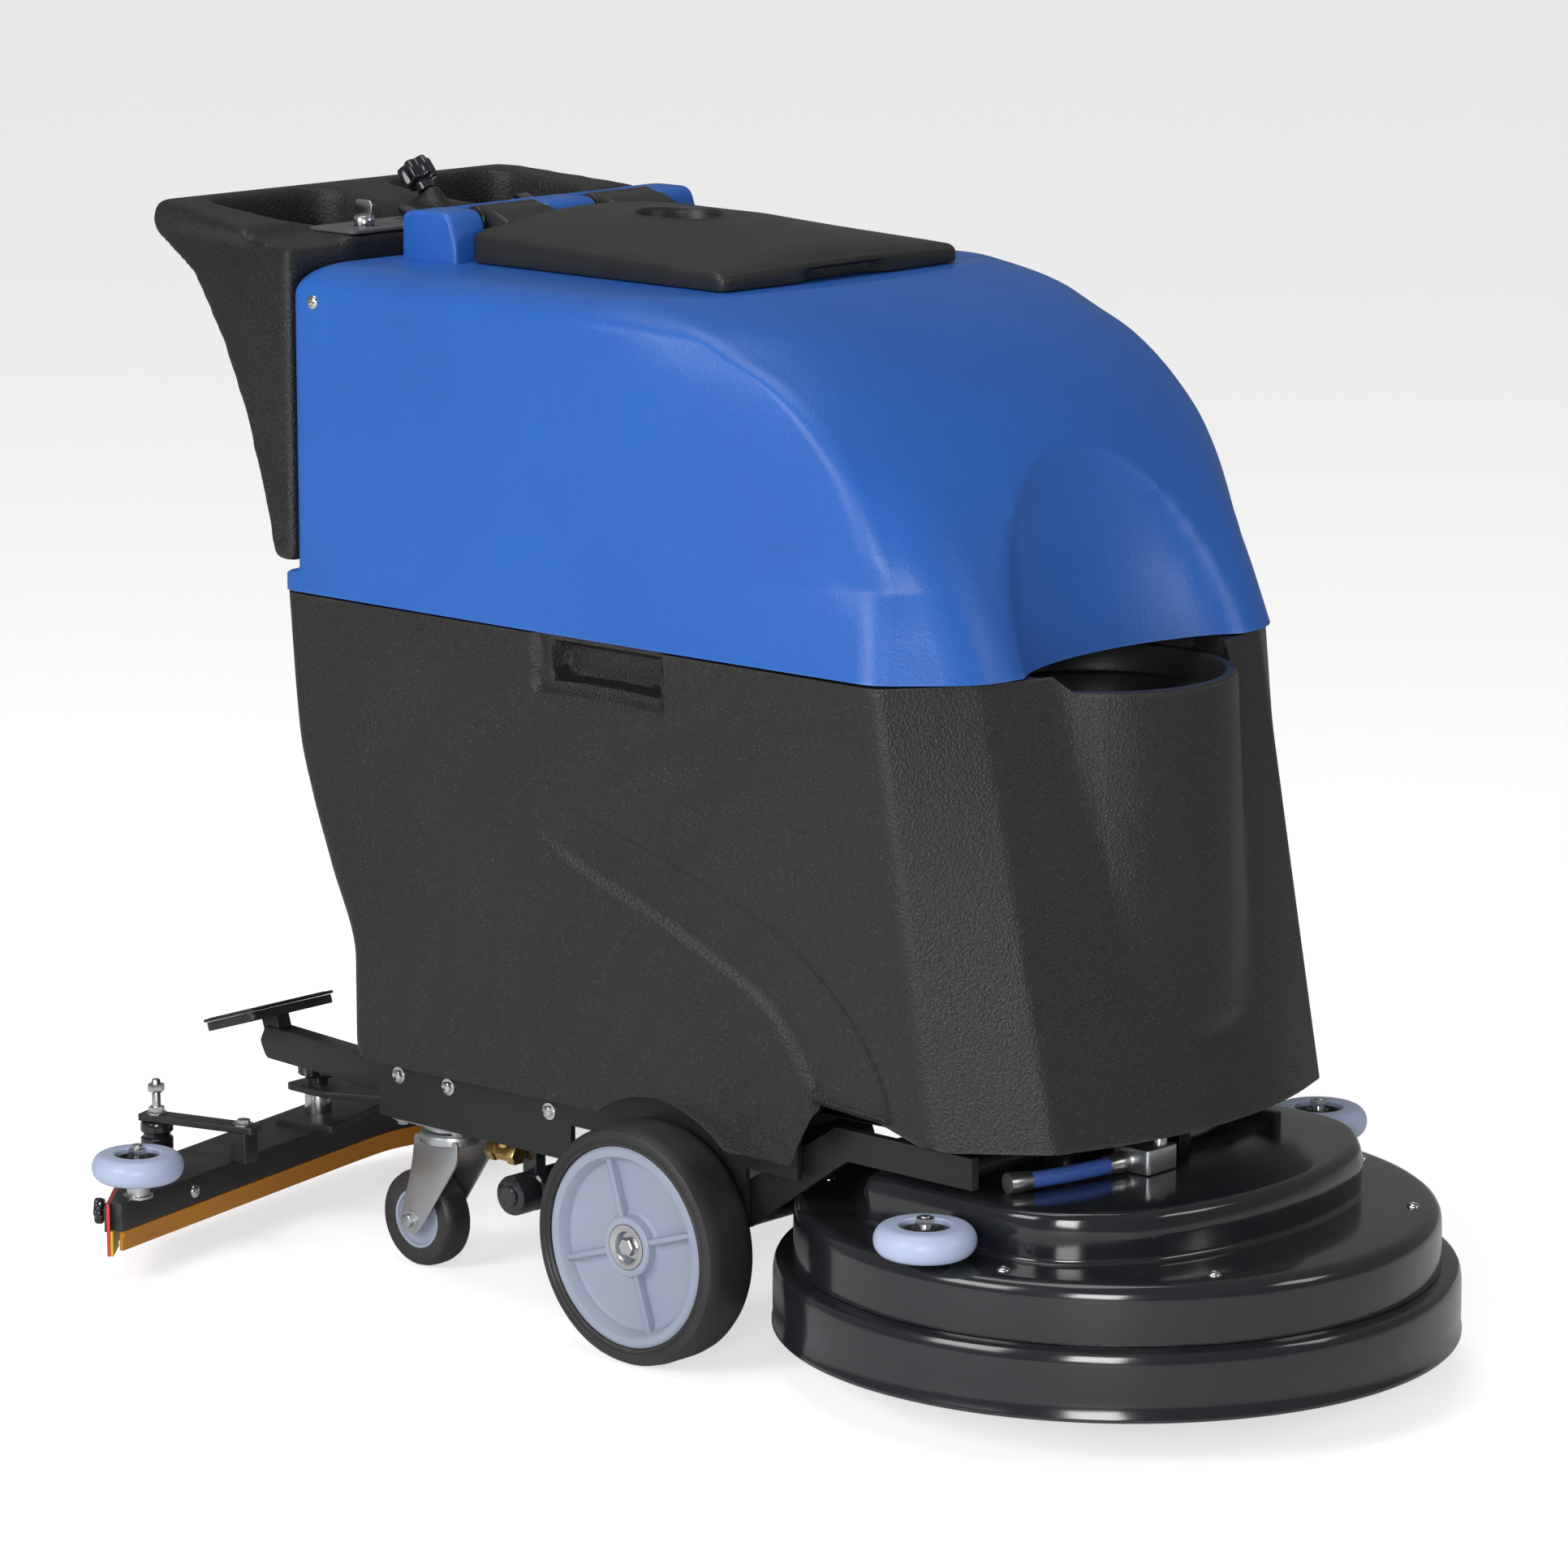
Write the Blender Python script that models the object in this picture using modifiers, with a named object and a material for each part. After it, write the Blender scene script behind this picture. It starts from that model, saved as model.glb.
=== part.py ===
"""Walk-behind floor scrubber: a rotomoulded machine with a round brush deck in
front, two drive wheels, two swivel casters and a V-shaped squeegee behind.

Metres, +Z up, +X the way the machine drives, +Y its left side.  Every height is
above the floor.  Lengths along X are measured from the brush axis, and the empty
called machine_origin carries the whole machine forward, so that the world origin
is on the floor under the middle of it.
"""
import math

import bmesh
import bpy
from mathutils import Matrix, Vector

# ---------------------------------------------------------------- driving sizes
FRONT_OFFSET = 0.3223       # brush axis, ahead of the middle of the machine
GAP = 0.0003                # kept between pieces that touch
RUNNING = 0.0003            # clearance all round a turning pin
WALL = 0.006                # moulded tank walls

SEAM_Z = 0.590              # joint between the two tanks
BODY_HALF_WIDTH = 0.247
BODY_BOTTOM_Z = 0.190
BELLY_Z = 0.228             # underside between the side skirts
TANK_FLOOR_Z = 0.250
CORNER_RADIUS = 0.020

TOP_Z = 0.867               # flat top of the recovery tank
TANK_REAR_X = -0.7015
LID_MOUTH = (-0.585, -0.325, 0.120)     # rear x, front x, half width

CUP_X = -0.030              # filler cup in the nose of the lower tank
CUP_RADIUS = 0.115
CUP_RIM_Z = 0.576
FILLER_RADIUS = 0.050

BATTERY = (0.330, 0.172, 0.215)         # 12 V block: length, width, height
BATTERY_REAR_X = -0.6255
BATTERY_PLAY = 0.006

WHEEL_X = -0.297
WHEEL_RADIUS = 0.100
WHEEL_RIM_RADIUS = 0.084
WHEEL_WIDTH = 0.054
WHEEL_FACE_Y = 0.270        # outer face of each drive wheel
AXLE_RADIUS = 0.0125
ARCH_RADIUS = 0.120

CASTER_X = -0.600           # kingpin
CASTER_Y = 0.165
CASTER_TRAIL = 0.033
CASTER_RADIUS = 0.0427
CASTER_WIDTH = 0.030
KINGPIN_RADIUS = 0.008
PIN_RADIUS = 0.004

RAIL_Y = 0.206              # middle of each side rail
RAIL_THICKNESS = 0.005
RAIL_BOTTOM_Z = 0.139

SKIRT_RADIUS = 0.280
SKIRT_BOTTOM_Z = 0.040
SKIRT_TOP_Z = 0.0962
DECK_RADIUS = SKIRT_RADIUS - 0.017
DECK_TOP_Z = 0.145
HOUSING_TOP_Z = 0.186       # raised D-shaped housing on the deck
DECK_WALL = 0.004
BRUSH_RADIUS = SKIRT_RADIUS - 0.030
BRUSH_BOTTOM_Z = 0.038
ROLLER_RADIUS = 0.041
ROLLER_HEIGHT = 0.025
ROLLER_PLACE = (0.012, DECK_RADIUS - 0.014)
POST_RADIUS = 0.005

DECK_PIVOT = (-0.235, 0.128)            # x, z of the deck arms' rear pins
DECK_LEVEL = (0.0, 0.204)               # x, z of their front shaft
ARM_Y = 0.192
SHAFT_RADIUS = 0.008

SQUEEGEE_LIFT = (-0.585, 0.150)         # x, z of the lift hinge
SWING_X = -0.665            # vertical swing pin
BEAM_TOP_Z = 0.073
BEAM_BOTTOM_Z = 0.048
BEAM_DEPTH = 0.067
BEAM_SWEEP = 0.200          # how far a half runs forward for each metre outwards
BEAM_FRONT_X = -0.846
BEAM_HALF = 0.392
BEAM_SHOULDER = 0.310       # where the rear edge turns in towards the tip
BEAM_TIP_DEPTH = 0.014
BLADE = 0.004
STRAP = 0.0025
FRONT_BLADE_BOTTOM_Z = 0.030
REAR_BLADE_BOTTOM_Z = 0.025
CLAMP_KNOB = (-0.860, 0.080)
SPACER_RADIUS = 0.012
SPACER_TOP_Z = 0.100
PLATE = 0.006
SIDE_ROLLER = (-0.780, 0.365)
SIDE_ROLLER_RADIUS = 0.0395
SIDE_ROLLER_LOW_Z = 0.0875
GUIDE_POST = (-0.800, 0.225)
GUIDE_END = (-0.885, 0.250)
GUIDE_Z = 0.0995            # underside of the flat guide bar

PEDAL_Y = -0.110
PEDAL_PIVOT = (-0.575, 0.1325)
PEDAL_END = (-0.885, 0.1465)

TILT_AXIS = (BODY_HALF_WIDTH + 0.0075, SEAM_Z + 0.0085)     # y, z of the tank's hinge rod
ROD_RADIUS = 0.004
KNUCKLE_RADIUS = 0.007      # lower eyes on that rod; the tilting tank's wall passes over them
LID_AXIS = (-0.625, 0.899)              # x, z of the lid's hinge pin
LID_PIN_RADIUS = 0.003
CONSOLE_TOP_Z = 0.885
LOOP = (-0.885, -0.765, 0.035, 0.175)   # rear x, front x, inner y, outer y
PANEL_THICKNESS = 0.003
TRIGGER_RADIUS = 0.007
TRIGGER_Y = 0.105
TRIGGER_Z = 0.872
KNOB_PLACE = (-0.785, 0.0, 0.8985)
KNOB_TILT = math.radians(-40)

SIDES = (("right", -1), ("left", 1))

# ---------------------------------------------------------------- scene helpers
for old in list(bpy.data.objects):
    bpy.data.objects.remove(old, do_unlink=True)

machine = bpy.data.collections.new("floor_scrubber")
cutters = bpy.data.collections.new("cutters")
bpy.context.scene.collection.children.link(machine)
bpy.context.scene.collection.children.link(cutters)


def empty(name, at):
    """An empty that stands for the machine or for one joint's axis."""
    obj = bpy.data.objects.new(name, None)
    obj.location = at
    obj.empty_display_size = 0.05
    machine.objects.link(obj)
    return obj


ORIGIN = empty("machine_origin", (FRONT_OFFSET, 0, 0))


def joint(name, at, parent=None):
    """A joint's empty at a place given in the machine's own lengths."""
    obj = empty(name, at)
    obj.parent = ORIGIN if parent is None else parent
    obj.location = Vector(at) - reach(obj.parent)
    return obj


def reach(obj):
    """Where an empty lies, measured from the brush axis."""
    place = Vector((0, 0, 0))
    while obj is not None and obj is not ORIGIN:
        place += obj.location
        obj = obj.parent
    return place


def material(name, colour, roughness, metallic=0.0):
    mat = bpy.data.materials.new(name)
    mat.use_nodes = True
    shader = mat.node_tree.nodes["Principled BSDF"]
    shader.inputs["Base Color"].default_value = (*colour, 1)
    shader.inputs["Roughness"].default_value = roughness
    shader.inputs["Metallic"].default_value = metallic
    return mat


BLACK_MOULDING = ("black_moulding", (0.018, 0.018, 0.018), 0.55)
BLUE_MOULDING = ("blue_moulding", (0.025, 0.13, 0.50), 0.50)
GLOSS_BLACK = ("gloss_black", (0.012, 0.012, 0.014), 0.22)
DARK_STEEL = ("dark_steel", (0.03, 0.03, 0.033), 0.45, 0.6)
BRIGHT_STEEL = ("bright_steel", (0.62, 0.62, 0.64), 0.28, 1.0)
GREY_PLASTIC = ("grey_plastic", (0.42, 0.46, 0.58), 0.5)
BLACK_RUBBER = ("black_rubber", (0.02, 0.02, 0.022), 0.7)
PALE_RUBBER = ("pale_rubber", (0.55, 0.63, 0.83), 0.45)
ORANGE_RUBBER = ("orange_rubber", (0.62, 0.25, 0.03), 0.45)
RED_RUBBER = ("red_rubber", (0.72, 0.03, 0.02), 0.4)
BRASS = ("brass", (0.65, 0.42, 0.14), 0.3, 1.0)


def add(name, mesh, finish, at=(0, 0, 0), parent=None, turn=(0, 0, 0), as_cutter=False):
    """Put a mesh in the scene under its own name, with its own material."""
    obj = bpy.data.objects.new(name, mesh)
    holder = ORIGIN if parent is None else parent
    obj.parent = holder
    obj.location = Vector(at) - reach(holder)
    obj.rotation_euler = turn
    if as_cutter:
        cutters.objects.link(obj)
        obj.hide_render = True
        obj.display_type = "WIRE"
        return obj
    machine.objects.link(obj)
    mesh.materials.clear()
    mesh.materials.append(material(name + "_" + finish[0], *finish[1:]))
    mesh.shade_smooth()
    mesh.set_sharp_from_angle(angle=math.radians(35))
    return obj


def tool(mesh, at=(0, 0, 0), parent=None, turn=(0, 0, 0)):
    return add("tool", mesh, None, at, parent, turn, as_cutter=True)


def boolean(obj, other, operation):
    mod = obj.modifiers.new(operation.lower(), "BOOLEAN")
    mod.operation = operation
    mod.solver = "EXACT"
    mod.object = other


def cut(obj, *others):
    for other in others:
        boolean(obj, other, "DIFFERENCE")


def fuse(obj, *others):
    for other in others:
        boolean(obj, other, "UNION")


# ---------------------------------------------------------------- mesh helpers
AXES = {"X": Matrix.Rotation(math.pi / 2, 4, "Y"), "Y": Matrix.Rotation(-math.pi / 2, 4, "X"),
        "Z": Matrix.Identity(4)}


def to_mesh(bm, name):
    bmesh.ops.recalc_face_normals(bm, faces=bm.faces)
    mesh = bpy.data.meshes.new(name)
    bm.to_mesh(mesh)
    bm.free()
    return mesh


def box(low, high):
    """A box between two corners."""
    low, high = Vector(low), Vector(high)
    bm = bmesh.new()
    size = Matrix.Diagonal((*(high - low), 1))
    bmesh.ops.create_cube(bm, size=1, matrix=Matrix.Translation((low + high) / 2) @ size)
    return to_mesh(bm, "box")


def rod(radius, length, axis="Z", sides=20, top_radius=None, middle=(0, 0, 0)):
    """A cylinder or a cone along an axis, centred on its middle."""
    bm = bmesh.new()
    end = radius if top_radius is None else top_radius
    place = Matrix.Translation(middle) @ AXES[axis]
    bmesh.ops.create_cone(bm, cap_ends=True, segments=sides, radius1=radius, radius2=end,
                          depth=length, matrix=place)
    return to_mesh(bm, "rod")


def turned(profile, sides=32, axis="Z"):
    """A closed profile of (radius, height) points, turned about an axis.

    The profile is one loop round the section of a ring, or a line that starts and
    ends on the axis.  The turning is a Screw modifier, made into a mesh.
    """
    ring = profile[0][0] > 0 and profile[-1][0] > 0
    bm = bmesh.new()
    verts = [bm.verts.new((radius, 0, height)) for radius, height in profile]
    for first, second in zip(verts, verts[1:]):
        bm.edges.new((first, second))
    if ring:
        bm.edges.new((verts[-1], verts[0]))
    mesh = bpy.data.meshes.new("profile")
    bm.to_mesh(mesh)
    bm.free()
    obj = bpy.data.objects.new("profile", mesh)
    cutters.objects.link(obj)
    screw = obj.modifiers.new("turn", "SCREW")
    screw.steps = sides
    screw.render_steps = sides
    screw.use_merge_vertices = True
    screw.merge_threshold = 0.0001
    return applied(obj, AXES[axis])


def applied(obj, matrix=Matrix.Identity(4)):
    """The evaluated mesh of an object, welded, and the object removed."""
    bpy.context.view_layer.update()
    depsgraph = bpy.context.evaluated_depsgraph_get()
    mesh = bpy.data.meshes.new_from_object(obj.evaluated_get(depsgraph))
    bpy.data.objects.remove(obj, do_unlink=True)
    bm = bmesh.new()
    bm.from_mesh(mesh)
    bmesh.ops.remove_doubles(bm, verts=bm.verts, dist=0.00002)
    bmesh.ops.transform(bm, matrix=matrix, verts=bm.verts)
    bmesh.ops.recalc_face_normals(bm, faces=bm.faces)
    bm.to_mesh(mesh)
    bm.free()
    return mesh


def plate(outline, low, high, plane="XY"):
    """A flat outline given thickness: along Z from low to high, or along Y."""
    curve = bpy.data.curves.new("outline", "CURVE")
    curve.dimensions = "2D"
    curve.fill_mode = "BOTH"
    curve.extrude = (high - low) / 2
    spline = curve.splines.new("POLY")
    spline.points.add(len(outline) - 1)
    for point, (first, second) in zip(spline.points, outline):
        point.co = (first, second, 0, 1)
    spline.use_cyclic_u = True
    obj = bpy.data.objects.new("outline", curve)
    cutters.objects.link(obj)
    move = Matrix.Translation((0, 0, (low + high) / 2))
    if plane == "XZ":
        move = Matrix.Rotation(math.pi / 2, 4, "X") @ Matrix.Translation((0, 0, -(low + high) / 2))
    return applied(obj, move)


def loft(rings):
    """Faces between rings of equal count, with both ends closed."""
    bm = bmesh.new()
    rows = [[bm.verts.new(point) for point in ring] for ring in rings]
    count = len(rows[0])
    for lower, upper in zip(rows, rows[1:]):
        for i in range(count):
            j = (i + 1) % count
            bm.faces.new((lower[i], lower[j], upper[j], upper[i]))
    bm.faces.new(list(reversed(rows[0])))
    bm.faces.new(rows[-1])
    return to_mesh(bm, "loft")


def tube(points, radius):
    """A round tube along a list of points."""
    curve = bpy.data.curves.new("tube", "CURVE")
    curve.dimensions = "3D"
    curve.bevel_depth = radius
    curve.bevel_resolution = 2
    curve.use_fill_caps = True
    spline = curve.splines.new("POLY")
    spline.points.add(len(points) - 1)
    for point, place in zip(spline.points, points):
        point.co = (*place, 1)
    return curve


def mix(low, high, share):
    return low + (high - low) * share


def along(table, height):
    """Straight-line reading of a table of (height, value) pairs."""
    for (z0, v0), (z1, v1) in zip(table, table[1:]):
        if height <= z1:
            return mix(v0, v1, (height - z0) / (z1 - z0))
    return table[-1][1]


def both_sides(half):
    """A ring from a half outline that runs from the rear to the nose, at y < 0."""
    return half + [(x, -y) for x, y in reversed(half) if y < 0]


# ---------------------------------------------------------------- lower tank
REAR_CURVE = [(0.190, -0.634), (0.213, -0.643), (0.284, -0.643), (0.364, -0.672), (0.417, -0.692),
              (0.471, -0.707), (0.590, -0.718)]
NOSE_LOW_Z = 0.225


def body_ring(height, inset=0.0):
    """The lower tank's plan at one height: flat sides, angled cheeks, bowed nose."""
    share = (height - NOSE_LOW_Z) / (SEAM_Z - NOSE_LOW_Z)
    rear = along(REAR_CURVE, height) + inset
    side = BODY_HALF_WIDTH - inset
    cheek = (mix(0.0, -0.049, share) - inset / 2, mix(0.228, 0.244, share) - inset)
    edge = (mix(0.076, 0.002, share) - inset, mix(0.168, 0.172, share) - inset / 2)
    front = (mix(0.092, 0.018, share) - inset, mix(0.120, 0.140, share))
    nose = mix(0.112, 0.036, share) - inset
    corner = [(rear + CORNER_RADIUS * (1 - math.cos(a)), -side + CORNER_RADIUS * (1 - math.sin(a)))
              for a in (0, math.pi / 4, math.pi / 2)]
    half = corner + [(-0.200, -side), (cheek[0], -cheek[1]), (edge[0], -edge[1]),
                     (front[0], -front[1]), (mix(front[0], nose, 0.8), -front[1] / 2), (nose, 0)]
    return [(x, y, height) for x, y in both_sides(half)]


def solution_tank():
    heights = [z for z, _ in REAR_CURVE]
    body = add("solution_tank", loft([body_ring(z) for z in heights]), BLACK_MOULDING)
    bulge_low = 0.270
    bulge_height = CUP_RIM_Z + 0.010 - bulge_low
    middle = bulge_low + bulge_height / 2
    bulge = tool(rod(CUP_RADIUS + 0.008, bulge_height, "Z", 32, CUP_RADIUS), (CUP_X, 0, middle))
    fuse(body, bulge)

    inner_heights = [TANK_FLOOR_Z, 0.284, 0.364, 0.471, SEAM_Z - WALL]
    water = tool(loft([body_ring(z, WALL) for z in inner_heights]))
    roof = CUP_RIM_Z - 0.070
    fuse(water, tool(rod(CUP_RADIUS - 0.002, roof - 0.300, "Z", 32), (CUP_X, 0, (roof + 0.300) / 2)))
    well_front = BATTERY_REAR_X + BATTERY[0] + BATTERY_PLAY
    well_half = BATTERY[1] + GAP + BATTERY_PLAY
    tub = box((-0.800, -well_half - WALL, 0.200), (well_front + WALL, well_half + WALL, 0.700))
    cup_wall = rod(CUP_RADIUS - 0.002, 0.120, "Z", 32, middle=(0, 0, 0.060))
    cut(water, tool(tub), tool(cup_wall, (CUP_X, 0, roof)))
    well = box((BATTERY_REAR_X - 0.004, -well_half, TANK_FLOOR_Z + WALL),
               (well_front, well_half, SEAM_Z + 0.010))
    steps = [(CUP_RADIUS + 0.006, SEAM_Z + 0.010), (CUP_RADIUS + 0.006, CUP_RIM_Z),
             (CUP_RADIUS - 0.010, CUP_RIM_Z), (CUP_RADIUS - 0.013, 0.556),
             (CUP_RADIUS - 0.022, 0.554), (CUP_RADIUS - 0.025, 0.538),
             (CUP_RADIUS - 0.035, 0.536), (CUP_RADIUS - 0.038, 0.520),
             (FILLER_RADIUS, 0.518), (FILLER_RADIUS, roof - 0.010)]
    cup = turned([(0, SEAM_Z + 0.010)] + steps + [(0, roof - 0.010)], 32)
    cut(body, water, tool(well), tool(cup, (CUP_X, 0, 0)))

    belly = box((-0.625, -0.2185, 0.100), (-0.150, 0.2185, BELLY_Z))
    nose_step = plate([(-0.162, 0.100), (-0.162, 0.189), (-0.123, 0.246), (-0.054, 0.241),
                       (0.000, 0.2255), (0.300, 0.2255), (0.300, 0.100)], -0.400, 0.400, "XZ")
    cut(body, tool(belly), tool(nose_step))
    for _, side in SIDES:
        arch = rod(ARCH_RADIUS, 0.120, "Y", 32)
        cut(body, tool(arch, (WHEEL_X, side * 0.250, WHEEL_RADIUS)))
    grip = box((-0.413, -0.300, 0.552), (-0.281, -0.222, 0.584))
    cut(body, tool(grip))
    for rear in (-0.565, -0.295):
        outer = TILT_AXIS[0] + KNUCKLE_RADIUS - 0.001
        low = box((rear, BODY_HALF_WIDTH - 0.006, 0.572), (rear + 0.020, outer, SEAM_Z - 0.001))
        high = box((rear + 0.0002, BODY_HALF_WIDTH + 0.001, 0.574),
                   (rear + 0.0198, outer - 0.0003, TILT_AXIS[1] - 0.001))
        eye = rod(KNUCKLE_RADIUS, 0.019, "X", 18)
        fuse(body, tool(low), tool(high), tool(eye, (rear + 0.010, *TILT_AXIS)))
    bore = rod(ROD_RADIUS + RUNNING, 0.600, "X", 16)
    cut(body, tool(bore, (-0.400, *TILT_AXIS)))

    strainer = turned([(0.047, 0.528), (0.049, 0.526), (0.049, 0.5188), (0.0465, 0.5188),
                       (0.0465, 0.470), (0.0445, 0.470), (0.0445, 0.528)], 20)
    add("filler_strainer", strainer, GREY_PLASTIC, (CUP_X, 0, 0))
    for index, name in enumerate(("battery_right", "battery_left")):
        side = 2 * index - 1
        low_y = GAP / 2 if side > 0 else -BATTERY[1] - GAP / 2
        low = Vector((BATTERY_REAR_X, low_y, TANK_FLOOR_Z + WALL + GAP))
        block = add(name, box(low, low + Vector(BATTERY)), BLACK_MOULDING)
        top = low.z + BATTERY[2]
        for post_x in (low.x + 0.030, low.x + BATTERY[0] - 0.030):
            fuse(block, tool(rod(0.009, 0.030, "Z", 16), (post_x, low_y + BATTERY[1] / 2, top)))


# ---------------------------------------------------------------- chassis and wheels
def chassis():
    outer = RAIL_Y + RAIL_THICKNESS / 2
    inner = RAIL_Y - RAIL_THICKNESS / 2
    top = BELLY_Z - GAP
    frame = add("chassis_frame", box((-0.622, -outer, top - 0.005), (-0.160, outer, top)), DARK_STEEL)
    pivot_x, pivot_z = DECK_PIVOT
    lift_x, lift_z = SQUEEGEE_LIFT
    for _, side in SIDES:
        def slab(x0, x1, y0, y1, z0, z1, side=side):
            low_y, high_y = sorted((side * y0, side * y1))
            fuse(frame, tool(box((x0, low_y, z0), (x1, high_y, z1))))
        slab(-0.645, -0.415, inner, outer, RAIL_BOTTOM_Z, BODY_BOTTOM_Z - 0.001)
        slab(-0.622, -0.160, inner, outer, 0.170, top - 0.001)
        slab(-0.645, -0.530, 0.126, outer - 0.001, RAIL_BOTTOM_Z, RAIL_BOTTOM_Z + 0.004)
        slab(WHEEL_X - 0.035, WHEEL_X + 0.035, inner, outer, 0.078, 0.200)
        slab(pivot_x - 0.018, pivot_x + 0.018, inner, outer, pivot_z - 0.016, 0.200)
        pin_end = (pivot_x, side * (ARM_Y + inner - 0.004) / 2, pivot_z)
        fuse(frame, tool(rod(SHAFT_RADIUS, inner - ARM_Y + 0.008, "Y", 20), pin_end))
        slab(lift_x - 0.015, lift_x + 0.015, 0.065, 0.070, lift_z - 0.014, top - 0.002)
    for low_y in (PEDAL_Y - 0.016, PEDAL_Y + 0.010):
        ear = box((PEDAL_PIVOT[0] - 0.015, low_y, PEDAL_PIVOT[1] - 0.014),
                  (PEDAL_PIVOT[0] + 0.015, low_y + 0.006, top - 0.002))
        fuse(frame, tool(ear))
    cut(frame, tool(rod(AXLE_RADIUS + RUNNING, 0.600, "Y", 20), (WHEEL_X, 0, WHEEL_RADIUS)))
    fuse(frame, tool(rod(POST_RADIUS, 0.152, "Y", 16), (lift_x, 0, lift_z)),
         tool(rod(POST_RADIUS, 0.036, "Y", 16), (PEDAL_PIVOT[0], PEDAL_Y, PEDAL_PIVOT[1])))

    axle_length = 2 * (WHEEL_FACE_Y - 0.012)
    add("axle_shaft", rod(AXLE_RADIUS, axle_length, "Y", 24), BRIGHT_STEEL, (WHEEL_X, 0, WHEEL_RADIUS))
    gearbox = add("transaxle", rod(0.0160, 0.110, "Y", 24), DARK_STEEL, (WHEEL_X, 0, WHEEL_RADIUS))
    gear_x, gear_z = WHEEL_X - 0.048, WHEEL_RADIUS + 0.018
    hanger = box((gear_x - 0.030, -0.030, gear_z), (gear_x + 0.030, 0.030, top - 0.005 - GAP))
    fuse(gearbox, tool(rod(0.045, 0.090, "Y", 24), (gear_x, 0, gear_z)),
         tool(rod(0.042, 0.150, "X", 24), (gear_x - 0.075, 0, gear_z + 0.010)), tool(hanger))
    cut(gearbox, tool(rod(AXLE_RADIUS + RUNNING, 0.400, "Y", 24), (WHEEL_X, 0, WHEEL_RADIUS)))
    for name, side in SIDES:
        drive_wheel(name, side)
        caster(name, side)


def drive_wheel(name, side):
    """A grey rim with four ribs, and a solid black tyre round it."""
    spin = joint("wheel_spin_" + name, (WHEEL_X, side * (WHEEL_FACE_Y - WHEEL_WIDTH / 2), WHEEL_RADIUS))
    half = WHEEL_WIDTH / 2
    rim_radius = WHEEL_RIM_RADIUS
    hub = 0.022
    bore = AXLE_RADIUS + RUNNING
    rim = turned([(rim_radius, half - 0.004), (rim_radius, -half + 0.004),
                  (rim_radius - 0.012, -half + 0.002), (rim_radius - 0.012, -0.004), (hub, -0.004),
                  (hub, -half + 0.004), (bore, -half + 0.004), (bore, half - 0.006),
                  (hub, half - 0.006), (hub, 0.004), (rim_radius - 0.012, 0.006),
                  (rim_radius - 0.012, half - 0.002)], 32, "Y")
    middle = reach(spin)
    wheel = add("wheel_rim_" + name, rim, GREY_PLASTIC, middle, spin)
    for turn in (0, math.pi / 2):
        for sense in (-1, 1):
            web = box((sense * 0.046 - 0.028, -0.004, -0.004), (sense * 0.046 + 0.028, 0.004, 0.016))
            web.transform(Matrix.Rotation(turn, 4, "Z"))
            web.transform(AXES["Y"] if side > 0 else Matrix.Rotation(math.pi / 2, 4, "X"))
            fuse(wheel, tool(web, middle, spin))
    inside = rim_radius + GAP
    tyre = turned([(WHEEL_RADIUS, half - 0.010), (WHEEL_RADIUS, -half + 0.010),
                   (WHEEL_RADIUS - 0.003, -half + 0.003), (WHEEL_RADIUS - 0.008, -half),
                   (inside, -half + 0.001), (inside, half - 0.001), (WHEEL_RADIUS - 0.008, half),
                   (WHEEL_RADIUS - 0.003, half - 0.003)], 40, "Y")
    add("wheel_tyre_" + name, tyre, BLACK_RUBBER, middle, spin)


def caster(name, side):
    """A plate and kingpin on the chassis, a swivelling fork and its wheel."""
    y = side * CASTER_Y
    top = RAIL_BOTTOM_Z - GAP
    mount = add("caster_mount_" + name, box((-0.042, -0.036, top - 0.004), (0.042, 0.036, top)),
                BRIGHT_STEEL, (CASTER_X, y, 0))
    fuse(mount, tool(rod(0.026, 0.008, "Z", 28), (CASTER_X, y, top - 0.0075)),
         tool(rod(KINGPIN_RADIUS, 0.030, "Z", 20), (CASTER_X, y, top - 0.015)))
    swivel = joint("caster_swivel_" + name, (CASTER_X, y, 0))
    crown_top = top - 0.012
    fork = add("caster_fork_" + name, rod(0.029, 0.010, "Z", 28), BRIGHT_STEEL,
               (CASTER_X, y, crown_top - 0.005), swivel)
    outline = [(-0.026, 0.122), (0.026, 0.122), (0.026, 0.104), (-0.018, 0.040), (-0.026, 0.031),
               (-0.040, 0.031), (-0.046, 0.042), (-0.030, 0.092)]
    for sense in (-1, 1):
        low, high = sorted((sense * 0.0185, sense * 0.0210))
        fuse(fork, tool(plate(outline, low, high, "XZ"), (CASTER_X, y, 0), swivel))
    axle_x = CASTER_X - CASTER_TRAIL
    fuse(fork, tool(rod(PIN_RADIUS, 0.050, "Y", 16), (axle_x, y, CASTER_RADIUS), swivel))
    cut(fork, tool(rod(KINGPIN_RADIUS + RUNNING, 0.040, "Z", 20), (CASTER_X, y, crown_top), swivel))
    spin = joint("caster_spin_" + name, (axle_x, y, CASTER_RADIUS), swivel)
    half = CASTER_WIDTH / 2
    bore = PIN_RADIUS + RUNNING
    wheel = turned([(CASTER_RADIUS, half - 0.006), (CASTER_RADIUS, -half + 0.006),
                    (CASTER_RADIUS - 0.006, -half), (bore, -half), (bore, half),
                    (CASTER_RADIUS - 0.006, half)], 28, "Y")
    add("caster_wheel_" + name, wheel, BLACK_RUBBER, reach(spin), spin)


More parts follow.
